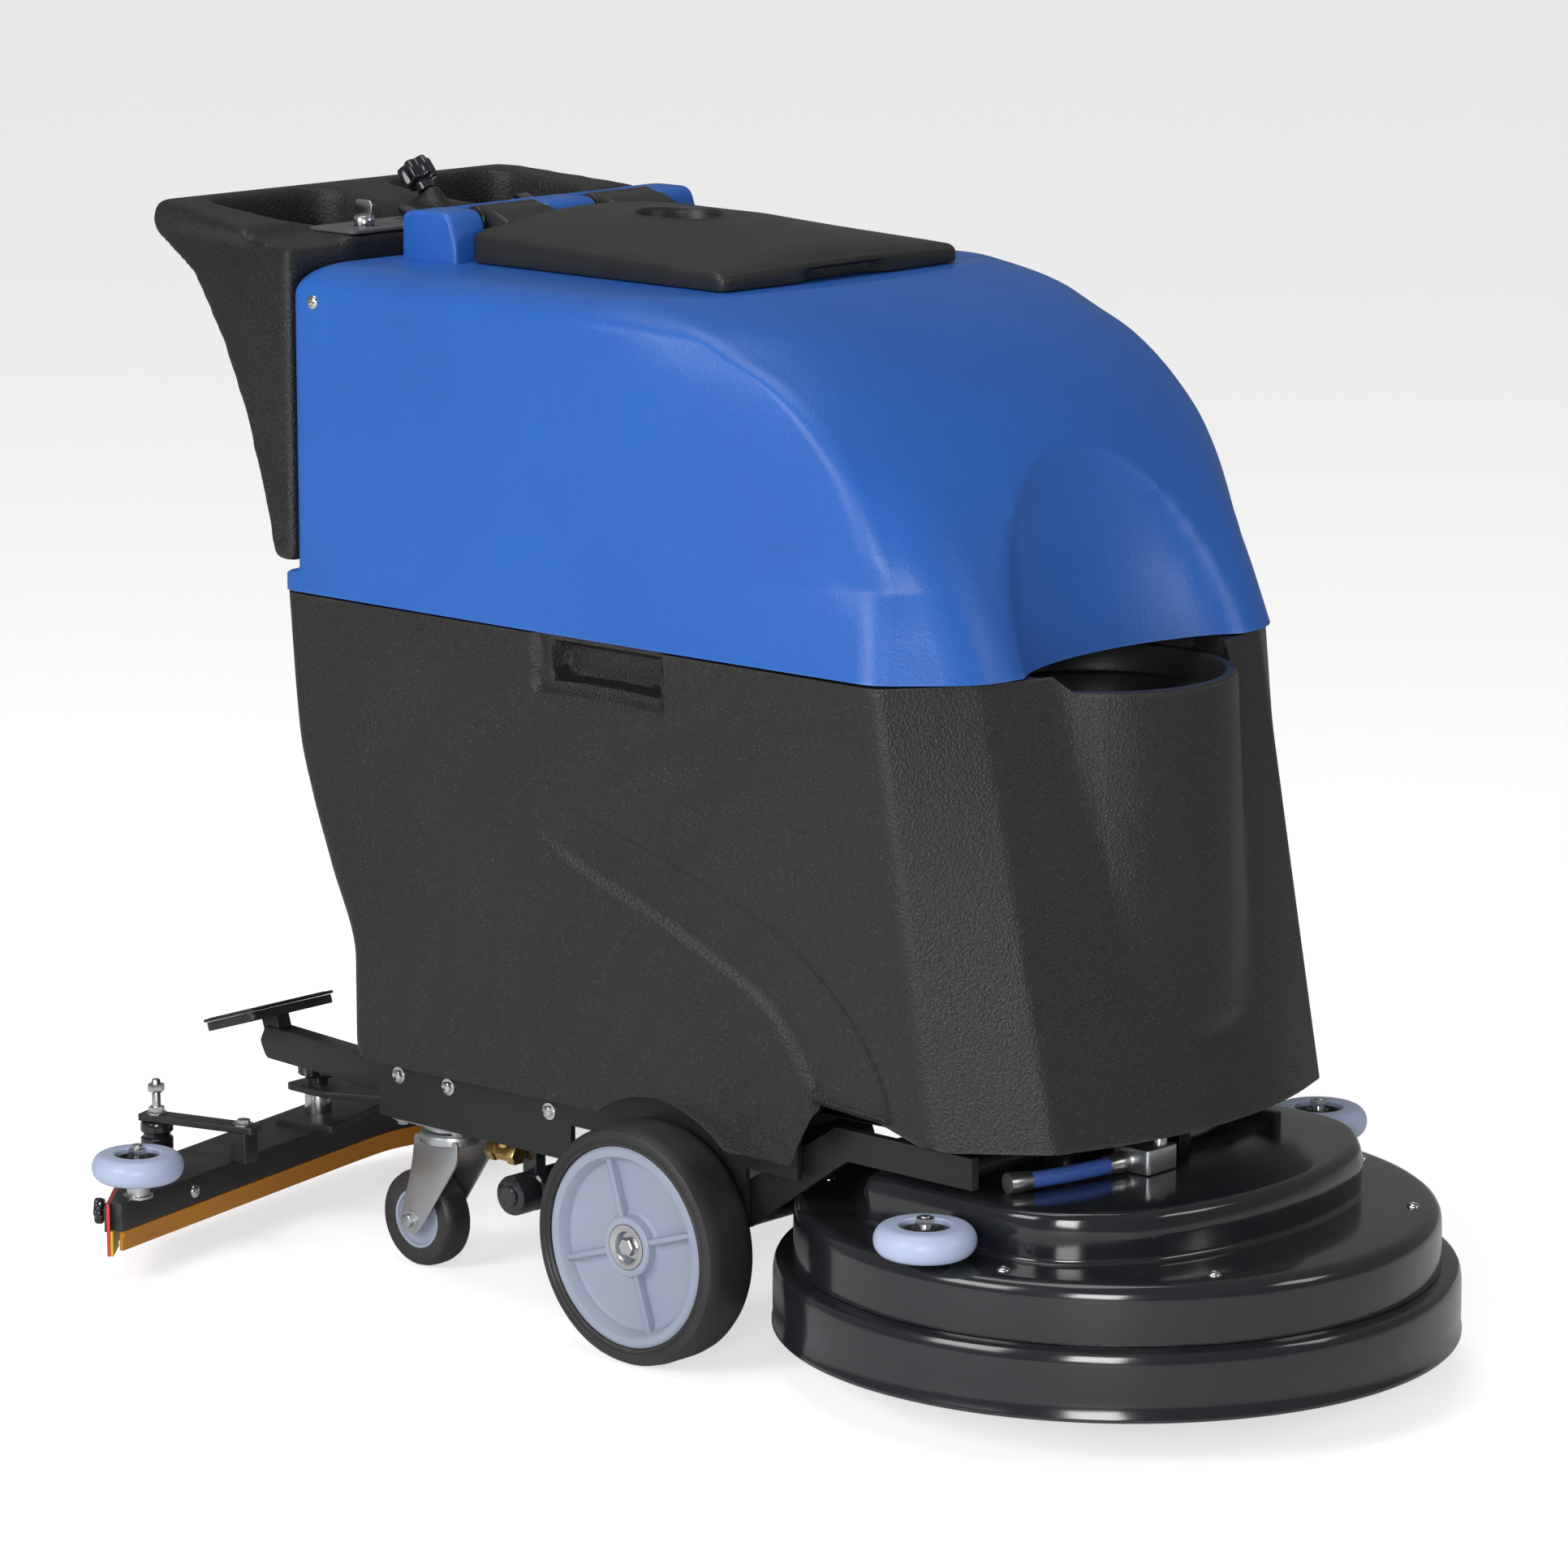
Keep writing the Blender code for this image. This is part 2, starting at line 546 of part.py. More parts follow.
def water_line():
    """Filter and shut-off valve that hang under the right rail."""
    filter_y = -0.200
    bowl = add("solution_filter", rod(0.0175, 0.085, "Y", 24), GLOSS_BLACK,
               (-0.497, filter_y + 0.0425, 0.092))
    strap = box((-0.008, -0.006, 0.0), (0.008, 0.006, RAIL_BOTTOM_Z - 0.092 + 0.030))
    fuse(bowl, tool(strap, (-0.497, filter_y + 0.030, 0.092)))
    valve = add("shutoff_valve", rod(0.009, 0.034, "X", 16), BRASS, (-0.516, -0.186, 0.1245))
    fuse(valve, tool(rod(0.006, 0.020, "Z", 12), (-0.516, -0.186, 0.137)))


# ---------------------------------------------------------------- brush deck
def bumper_roller(radius, low, high):
    """A soft wall roller with rounded shoulders, a recess on top and a bore for its post."""
    bore = POST_RADIUS + RUNNING
    return turned([(radius - 0.009, high), (radius, high - 0.009), (radius, low + 0.009),
                   (radius - 0.009, low), (bore, low), (bore, high - 0.006),
                   (radius - 0.020, high - 0.006), (radius - 0.018, high)], 20)


def housing_outline(inset):
    """The D-shaped plan of the raised housing: straight rear, arched front."""
    half = 0.202 - inset
    rear = -0.100 + inset
    nose = 0.172 - inset
    bow = 0.052
    front = [(nose - bow * (step / 4) ** 2, half * 0.93 * step / 4) for step in range(-4, 5)]
    return [(rear, -half + 0.012), (rear + 0.020, -half), (0.080, -half)] + front + [
        (0.080, half), (rear + 0.020, half), (rear, half - 0.012)]


def deck():
    lift = joint("deck_lift", (DECK_PIVOT[0], 0, DECK_PIVOT[1]))
    level = joint("deck_level", (DECK_LEVEL[0], 0, DECK_LEVEL[1]), lift)
    height = 0.013
    pivot_x, pivot_z = DECK_PIVOT
    front_z = DECK_LEVEL[1]
    outline = [(pivot_x - 0.014, pivot_z - height), (pivot_x + 0.008, pivot_z - height),
               (-0.118, front_z - height), (0.014, front_z - height), (0.014, front_z + height),
               (-0.130, front_z + height), (pivot_x - 0.014, pivot_z + height)]
    arms = add("deck_arms", rod(SHAFT_RADIUS, 2 * ARM_Y, "Y", 20), DARK_STEEL, reach(level), lift)
    for _, side in SIDES:
        low, high = sorted((side * (ARM_Y - 0.004), side * (ARM_Y + 0.004)))
        fuse(arms, tool(plate(outline, low, high, "XZ"), (0, 0, 0), lift))
    cut(arms, tool(rod(SHAFT_RADIUS + RUNNING, 0.400, "Y", 20), reach(lift), lift))

    edge = 0.007
    shell = add("deck_cover", rod(DECK_RADIUS, DECK_TOP_Z - SKIRT_TOP_Z - GAP - edge, "Z", 48), GLOSS_BLACK,
                (0, 0, (DECK_TOP_Z - edge + SKIRT_TOP_Z + GAP) / 2), level)
    rounding = rod(DECK_RADIUS, edge, "Z", 48, DECK_RADIUS - edge)
    fuse(shell, tool(rounding, (0, 0, DECK_TOP_Z - edge / 2), level))
    outer = loft([[(x, y, DECK_TOP_Z - 0.010) for x, y in housing_outline(-0.004)],
                  [(x, y, HOUSING_TOP_Z - 0.006) for x, y in housing_outline(0.0)],
                  [(x, y, HOUSING_TOP_Z) for x, y in housing_outline(0.006)]])
    fuse(shell, tool(outer, (0, 0, 0), level))
    bowl = rod(DECK_RADIUS - DECK_WALL, 0.100, "Z", 48)
    inner = loft([[(x, y, 0.100) for x, y in housing_outline(0.0)],
                  [(x, y, HOUSING_TOP_Z - DECK_WALL) for x, y in housing_outline(0.006)]])
    cut(shell, tool(bowl, (0, 0, DECK_TOP_Z - DECK_WALL - 0.050), level), tool(inner, (0, 0, 0), level))
    for _, side in SIDES:
        lug = box((-0.014, -0.007, HOUSING_TOP_Z - 0.002), (0.014, 0.007, DECK_LEVEL[1] + 0.014))
        fuse(shell, tool(lug, (0, side * 0.070, 0), level))
        post_height = ROLLER_HEIGHT + 0.014
        place = (ROLLER_PLACE[0], side * ROLLER_PLACE[1], DECK_TOP_Z - 0.002 + post_height / 2)
        fuse(shell, tool(rod(POST_RADIUS, post_height, "Z", 16), place, level))
    cut(shell, tool(rod(SHAFT_RADIUS + RUNNING, 0.250, "Y", 20), reach(level), level))

    skirt = turned([(SKIRT_RADIUS - 0.005, SKIRT_TOP_Z), (SKIRT_RADIUS, SKIRT_TOP_Z - 0.006),
                    (SKIRT_RADIUS, SKIRT_BOTTOM_Z), (SKIRT_RADIUS - 0.006, SKIRT_BOTTOM_Z),
                    (SKIRT_RADIUS - 0.006, SKIRT_TOP_Z - 0.010), (DECK_RADIUS - 0.008, SKIRT_TOP_Z - 0.010),
                    (DECK_RADIUS - 0.008, SKIRT_TOP_Z)], 48)
    add("deck_skirt", skirt, BLACK_RUBBER, (0, 0, 0), level)
    motor_low = 0.080
    motor_top = HOUSING_TOP_Z - DECK_WALL - GAP
    motor = add("brush_motor", rod(0.066, motor_top - motor_low, "Z", 32), DARK_STEEL,
                (0, 0, (motor_top + motor_low) / 2), level)
    output = 0.0643
    fuse(motor, tool(rod(0.010, 0.030, "Z", 16), (0, 0, output + 0.015), level))
    spin = joint("brush_spin", (0, 0, 0), level)
    brush = turned([(0.0, 0.064), (0.050, 0.064), (0.060, 0.060), (BRUSH_RADIUS - 0.008, 0.060),
                    (BRUSH_RADIUS - 0.008, 0.052), (BRUSH_RADIUS, BRUSH_BOTTOM_Z), (0.110, BRUSH_BOTTOM_Z),
                    (0.114, 0.052), (0.0, 0.052)], 32)
    add("brush_disc", brush, GREY_PLASTIC, (0, 0, 0), spin)
    for name, side in SIDES:
        low = DECK_TOP_Z + 0.005
        roller = bumper_roller(ROLLER_RADIUS, low, low + ROLLER_HEIGHT)
        axis = joint("deck_roller_spin_" + name, (ROLLER_PLACE[0], side * ROLLER_PLACE[1], 0), level)
        add("deck_roller_" + name, roller, PALE_RUBBER, reach(axis), axis)
    hose_z = HOUSING_TOP_Z + 0.0085
    block_low, block_high = (0.040, -0.056, HOUSING_TOP_Z + GAP), (0.078, -0.018, HOUSING_TOP_Z + 0.022)
    block = add("spray_valve", box(block_low, block_high), BRIGHT_STEEL, (0, 0, 0), level)
    fuse(block, tool(rod(0.006, 0.020, "Z", 12), (0.068, -0.030, HOUSING_TOP_Z + 0.020), level))
    route = hose_route((0.052, -0.0568, hose_z), (0.049, -0.090, hose_z), (0.041, -0.130, hose_z),
                       (0.029, -0.168, hose_z))
    hose = bpy.data.objects.new("deck_hose", tube(route, 0.007))
    hose.parent = level
    hose.location = -reach(level)
    hose.data.materials.append(material("deck_hose_braid", (0.02, 0.05, 0.35), 0.5))
    machine.objects.link(hose)


def hose_route(*knots):
    """Points of a smooth curve through the knots, two diameters of hose apart."""
    ends = [2 * Vector(knots[0]) - Vector(knots[1])] + [Vector(k) for k in knots]
    ends.append(2 * Vector(knots[-1]) - Vector(knots[-2]))
    points = []
    for i in range(1, len(ends) - 2):
        a, b, c, d = ends[i - 1:i + 3]
        for step in range(4):
            t = step / 4
            points.append(0.5 * (2 * b + (c - a) * t + (2 * a - 5 * b + 4 * c - d) * t * t
                                 + (3 * b - a - 3 * c + d) * t ** 3))
    return points + [ends[-2]]


# ---------------------------------------------------------------- squeegee
def beam_front(y, back=0.0):
    return BEAM_FRONT_X + BEAM_SWEEP * abs(y) - back


def rear_line(extra=0.0, reach_out=0.0):
    """The squeegee's rear edge, from the right tip to the left one, moved back."""
    tip = beam_front(BEAM_HALF, BEAM_TIP_DEPTH + extra)
    shoulder = beam_front(BEAM_SHOULDER, BEAM_DEPTH + extra)
    middle = beam_front(0, BEAM_DEPTH + extra)
    out = BEAM_HALF + reach_out
    return [(tip, -out), (shoulder, -BEAM_SHOULDER - extra / 2), (middle, 0),
            (shoulder, BEAM_SHOULDER + extra / 2), (tip, out)]


def band(near, thickness, reach_out, low, high):
    """A strip that follows the rear edge, from a distance to its own thickness."""
    inner = rear_line(near, reach_out)
    outer = rear_line(near + thickness, reach_out)
    return plate(inner + list(reversed(outer)), low, high)


def squeegee():
    lift = joint("squeegee_lift", (SQUEEGEE_LIFT[0], 0, SQUEEGEE_LIFT[1]))
    swing = joint("squeegee_swing", (SWING_X, 0, 0), lift)
    plate_low = SPACER_TOP_Z + GAP
    plate_top = plate_low + PLATE
    arm = add("squeegee_lift_arm", rod(0.011, 0.126, "Y", 20), DARK_STEEL, reach(lift), lift)
    beam_low = plate_top + GAP
    lift_x, lift_z = SQUEEGEE_LIFT
    link = plate([(lift_x + 0.006, lift_z - 0.006), (lift_x - 0.006, lift_z + 0.008),
                  (SWING_X - 0.030, beam_low + 0.030), (SWING_X - 0.030, beam_low),
                  (SWING_X + 0.035, beam_low)], -0.030, 0.030, "XZ")
    pin = rod(SHAFT_RADIUS, 0.020, "Z", 20)
    fuse(arm, tool(link, (0, 0, 0), lift), tool(pin, (SWING_X, 0, beam_low - 0.006), lift))
    cut(arm, tool(rod(POST_RADIUS + RUNNING, 0.300, "Y", 16), reach(lift), lift))

    knob_x, knob_y = CLAMP_KNOB
    half = [(SWING_X + 0.025, 0.028), (SWING_X - 0.050, 0.045), (knob_x + 0.030, knob_y + 0.022),
            (knob_x - 0.020, knob_y + 0.022), (knob_x - 0.020, knob_y - 0.020), (knob_x + 0.022, 0.030)]
    outline = half + [(x, -y) for x, y in reversed(half)]
    swing_plate = add("squeegee_swing_plate", plate(outline, plate_low, plate_top), DARK_STEEL,
                      (0, 0, 0), swing)
    cut(swing_plate, tool(rod(SHAFT_RADIUS + RUNNING, 0.050, "Z", 20), (SWING_X, 0, plate_low), swing))

    front = [(beam_front(BEAM_HALF), -BEAM_HALF), (beam_front(0), 0), (beam_front(BEAM_HALF), BEAM_HALF)]
    body = add("squeegee_beam", plate(front + list(reversed(rear_line())), BEAM_BOTTOM_Z, BEAM_TOP_Z),
               GLOSS_BLACK, (0, 0, 0), swing)
    bracket = [(knob_x + 0.020, -0.020), (knob_x + 0.050, -0.110), (knob_x - 0.018, -0.118),
               (knob_x - 0.030, 0), (knob_x - 0.018, 0.118), (knob_x + 0.050, 0.110), (knob_x + 0.020, 0.020)]
    fuse(body, tool(plate(bracket, BEAM_TOP_Z - 0.002, BEAM_TOP_Z + 0.006), (0, 0, 0), swing))
    stud_top = plate_top + 0.015
    for name, side in SIDES:
        place = Vector((knob_x, side * knob_y, 0))
        spacer_height = SPACER_TOP_Z - BEAM_TOP_Z
        fuse(body, tool(rod(SPACER_RADIUS, spacer_height, "Z", 24),
                        place + Vector((0, 0, SPACER_TOP_Z - spacer_height / 2)), swing))
        fuse(body, tool(rod(POST_RADIUS, 0.040, "Z", 16), place + Vector((0, 0, stud_top - 0.020)), swing))
        cut(swing_plate, tool(rod(POST_RADIUS + RUNNING, 0.050, "Z", 16),
                              place + Vector((0, 0, plate_low)), swing))
        clamp = joint("clamp_knob_" + name, place, swing)
        low = plate_top + GAP
        star = turned([(0, low + 0.021), (0.012, low + 0.021), (0.018, low + 0.017), (0.018, low + 0.007),
                       (0.009, low + 0.006), (0.009, low), (POST_RADIUS + RUNNING, low),
                       (POST_RADIUS + RUNNING, stud_top + GAP), (0, stud_top + GAP)], 14)
        add("squeegee_knob_" + name, star, GLOSS_BLACK, reach(clamp), clamp)

        roller_x, roller_y = SIDE_ROLLER
        post_top = 0.119
        fuse(body, tool(rod(POST_RADIUS, post_top - 0.060, "Z", 16),
                        (roller_x, side * roller_y, (post_top + 0.060) / 2), swing))
        ring = bumper_roller(SIDE_ROLLER_RADIUS, SIDE_ROLLER_LOW_Z, SIDE_ROLLER_LOW_Z + 0.024)
        axis = joint("side_roller_" + name, (roller_x, side * roller_y, 0), swing)
        add("squeegee_roller_" + name, ring, PALE_RUBBER, reach(axis), axis)
        guide(name, side, swing)
        strap_knob(name, side, swing)

    depth = 0.003
    edge_front = [(beam_front(y, depth), y) for y in (-BEAM_HALF + 0.004, 0, BEAM_HALF - 0.004)]
    edge_back = [(beam_front(y, depth + BLADE), y) for y in (BEAM_HALF - 0.004, 0, -BEAM_HALF + 0.004)]
    add("front_blade", plate(edge_front + edge_back, FRONT_BLADE_BOTTOM_Z, BEAM_BOTTOM_Z - GAP),
        ORANGE_RUBBER, (0, 0, 0), swing)
    add("rear_blade", band(GAP, BLADE, 0.004, REAR_BLADE_BOTTOM_Z, 0.071), RED_RUBBER, (0, 0, 0), swing)
    add("rear_strap", band(2 * GAP + BLADE, STRAP, 0.004, 0.046, 0.068), GLOSS_BLACK, (0, 0, 0), swing)


def guide(name, side, swing):
    """A flat bar on a post, with a little swivel wheel under its rear end."""
    post_x, post_y = GUIDE_POST
    end_x, end_y = GUIDE_END
    run = Vector((end_x - post_x, side * (end_y - post_y), 0))
    angle = math.atan2(run.y, run.x)
    bar = box((-0.014, -0.010, GUIDE_Z), (run.length + 0.014, 0.010, GUIDE_Z + PLATE))
    piece = add("guide_arm_" + name, bar, DARK_STEEL, (post_x, side * post_y, 0), swing, (0, 0, angle))
    post = box((-0.010, -0.008, BEAM_TOP_Z + GAP), (0.010, 0.008, GUIDE_Z + 0.001))
    fuse(piece, tool(post, (post_x, side * post_y, 0), swing))
    fuse(piece, tool(rod(PIN_RADIUS, 0.044, "Z", 12), (end_x, side * end_y, GUIDE_Z + 0.015), swing))
    turn = joint("guide_swivel_" + name, (end_x, side * end_y, 0), swing)
    stem = PIN_RADIUS + RUNNING
    top = GUIDE_Z - GAP
    floor = 0.0718
    wheel = turned([(0.012, top), (0.0145, top - 0.003), (0.0145, floor + 0.003), (0.012, floor), (0, floor),
                    (0, GUIDE_Z - 0.008), (stem, GUIDE_Z - 0.008), (stem, top)], 14)
    add("guide_caster_" + name, wheel, GLOSS_BLACK, reach(turn), turn)


def strap_knob(name, side, swing):
    """The star knob that pulls the rear strap tight at each tip."""
    outer = rear_line(3 * GAP + BLADE + STRAP, 0.004)
    if side > 0:
        outer.reverse()
    tip, shoulder = Vector(outer[0]), Vector(outer[1])
    place = tip.lerp(shoulder, 0.28)
    slope = shoulder - tip
    normal = Vector((slope.y, -slope.x)).normalized()
    if normal.x > 0:
        normal = -normal
    angle = math.atan2(normal.y, normal.x)
    axis = joint("strap_knob_turn_" + name, (place.x, place.y, 0.057), swing)
    star = turned([(0, 0.013), (0.009, 0.013), (0.012, 0.010), (0.012, 0.004), (0.006, 0.002),
                   (0.006, 0.0006), (0, 0.0006)], 16, "X")
    add("strap_knob_" + name, star, GLOSS_BLACK, reach(axis), axis, (0, 0, angle))


def pedal():
    pivot = joint("pedal_turn", (PEDAL_PIVOT[0], PEDAL_Y, PEDAL_PIVOT[1]))
    pivot_x, pivot_z = PEDAL_PIVOT
    end_x, end_z = PEDAL_END
    outline = [(pivot_x + 0.014, pivot_z - 0.012), (pivot_x + 0.014, pivot_z + 0.014),
               (end_x, end_z + 0.015), (end_x - 0.008, end_z), (end_x, end_z - 0.015)]
    lever = add("lift_pedal", plate(outline, PEDAL_Y - 0.0095, PEDAL_Y + 0.0095, "XZ"),
                DARK_STEEL, (0, 0, 0), pivot)
    pad = box((-0.033, -0.050, -0.004), (0.033, 0.050, 0.004))
    pad.transform(Matrix.Rotation(math.radians(-18), 4, "Y"))
    neck = box((-0.004, -0.008, -0.020), (0.016, 0.008, 0.000))
    place = (PEDAL_END[0] - 0.004, PEDAL_Y, PEDAL_END[1] + 0.024)
    fuse(lever, tool(pad, place, pivot), tool(neck, place, pivot))
    cover = box((-0.035, -0.052, 0.0043), (0.035, 0.052, 0.0075))
    cover.transform(Matrix.Rotation(math.radians(-18), 4, "Y"))
    add("pedal_pad", cover, BLACK_RUBBER, place, pivot)
    cut(lever, tool(rod(POST_RADIUS + RUNNING, 0.100, "Y", 16), reach(pivot), pivot))


# ---------------------------------------------------------------- upper tank, lid and console
CHEEK_CURVE = [(0.590, -0.047), (0.661, -0.043), (0.698, -0.052), (0.744, -0.073), (0.783, -0.108),
               (0.814, -0.151), (0.833, -0.195), (0.867, -0.260)]
NOSE_CURVE = [(0.590, 0.006), (0.640, -0.020), (0.692, -0.055), (0.740, -0.094), (0.772, -0.124),
              (0.805, -0.166), (0.836, -0.222), (0.867, -0.290)]
NOSE_HALF_WIDTH = 0.165     # the nose's two edges stand this far from the middle
BOW = 0.025                 # how far the nose stands ahead of its two edges


def tank_ring(height, inset=0.0):
    """The upper tank's plan at one height."""
    rear = TANK_REAR_X + inset
    side = BODY_HALF_WIDTH - inset
    cheek_x = along(CHEEK_CURVE, height) - inset
    edge_x = along(NOSE_CURVE, height) - inset
    edge_y = NOSE_HALF_WIDTH - inset
    half = [(rear, -side + 0.010), (rear + 0.010, -side), (cheek_x - 0.060, -side), (cheek_x, -side + 0.002),
            (edge_x, -edge_y), (edge_x + BOW * 0.5, -edge_y * 0.7), (edge_x + BOW * 0.9, -edge_y * 0.35),
            (edge_x + BOW, 0)]
    return [(x, y, height) for x, y in both_sides(half)]


def upper_tank():
    tilt = joint("tank_tilt", (0, *TILT_AXIS))
    base = SEAM_Z + 0.0015
    levels = [base, 0.642, 0.698, 0.744, 0.783, 0.814, 0.838]
    rings = [tank_ring(z) for z in levels] + [tank_ring(0.856, 0.007), tank_ring(TOP_Z, 0.024)]
    tank = add("recovery_tank", loft(rings), BLUE_MOULDING, (0, 0, 0), tilt)
    wall = WALL - 0.001
    inner = [tank_ring(z, wall) for z in [base + wall] + levels[1:]] + [tank_ring(0.850, 0.016),
                                                                      tank_ring(TOP_Z - wall, 0.032)]
    mouth = box((LID_MOUTH[0], -LID_MOUTH[2], 0.800), (LID_MOUTH[1], LID_MOUTH[2], TOP_Z + 0.050))
    hollow = tool(loft(inner), (0, 0, 0), tilt)

    def scoop(grow):
        bm = bmesh.new()
        bmesh.ops.create_uvsphere(bm, u_segments=20, v_segments=12, radius=1.0)
        size = Matrix.Diagonal((0.055 + grow, 0.140 + grow, 0.210 + grow, 1))
        bmesh.ops.transform(bm, matrix=Matrix.Rotation(math.radians(-35), 4, "Y") @ size, verts=bm.verts)
        return tool(to_mesh(bm, "scoop"), (0.060, 0, 0.575), tilt)

    cut(hollow, scoop(wall))
    ridge = box((-0.668, -0.148, TOP_Z - 0.006), (-0.606, 0.148, LID_AXIS[1] + 0.009))
    fuse(tank, tool(ridge, (0, 0, 0), tilt))
    cut(tank, hollow, tool(mouth, (0, 0, 0), tilt), scoop(0.0))
    for _, side in SIDES:
        low_y, high_y = sorted((side * 0.030, side * 0.108))
        pocket = box((-0.658, low_y, LID_AXIS[1] - 0.0145), (-0.580, high_y, 1.000))
        cut(tank, tool(pocket, (0, 0, 0), tilt))
    pin_at = (LID_AXIS[0], 0, LID_AXIS[1])
    cut(tank, tool(rod(LID_PIN_RADIUS + RUNNING, 0.232, "Y", 16), pin_at, tilt))
    add("lid_hinge_pin", rod(LID_PIN_RADIUS, 0.228, "Y", 16), BRIGHT_STEEL, pin_at, tilt)
    for rear in (-0.590, -0.320):
        ear = box((rear, BODY_HALF_WIDTH - 0.004, base + 0.0005),
                  (rear + 0.020, TILT_AXIS[0] + 0.0075, 0.607))
        fuse(tank, tool(ear, (0, 0, 0), tilt))
    rod_middle = (-0.4325, *TILT_AXIS)
    cut(tank, tool(rod(ROD_RADIUS + RUNNING, 0.400, "X", 16), rod_middle, tilt))
    add("tank_hinge_rod", rod(ROD_RADIUS, 0.345, "X", 16), BRIGHT_STEEL, rod_middle, tilt)
    floor = base + wall + GAP
    add("vacuum_motor", rod(0.062, 0.130, "Z", 28), DARK_STEEL, (-0.625, 0, floor + 0.065), tilt)
    add("float_cage", rod(0.028, 0.200, "Z", 20), GREY_PLASTIC, (-0.360, 0, floor + 0.100), tilt)
    lid(tilt)
    console(tilt)


def lid(tilt):
    hinge = joint("lid_hinge", (LID_AXIS[0], 0, LID_AXIS[1]), tilt)
    half = 0.144
    low = TOP_Z + 0.0005
    rings = []
    for x, edge, dome in ((-0.598, 0.888, 0.014), (-0.590, 0.893, 0.017), (-0.480, 0.889, 0.019),
                          (-0.310, 0.883, 0.010), (-0.301, 0.876, 0.010)):
        top = [(x, y, edge + dome * (1 - (y / half) ** 2))
               for y in (-half, -0.100, -0.050, 0, 0.050, 0.100, half)]
        rings.append([(x, half, low), (x, -half, low)] + top)
    cover = add("tank_lid", loft(rings), BLACK_MOULDING, (0, 0, 0), hinge)
    for _, side in SIDES:
        low_y, high_y = sorted((side * 0.0335, side * 0.1045))
        knuckle = rod(0.0115, 0.071, "Y", 20)
        arm = box((LID_AXIS[0], low_y, LID_AXIS[1] - 0.009), (-0.592, high_y, LID_AXIS[1] + 0.009))
        fuse(cover, tool(knuckle, (LID_AXIS[0], side * 0.069, LID_AXIS[1]), hinge),
             tool(arm, (0, 0, 0), hinge))
    cut(cover, tool(rod(LID_PIN_RADIUS + RUNNING, 0.300, "Y", 16), reach(hinge), hinge))
    cut(cover, tool(rod(0.0375, 0.040, "Z", 32), (-0.486, 0, 0.894 + 0.020), hinge))


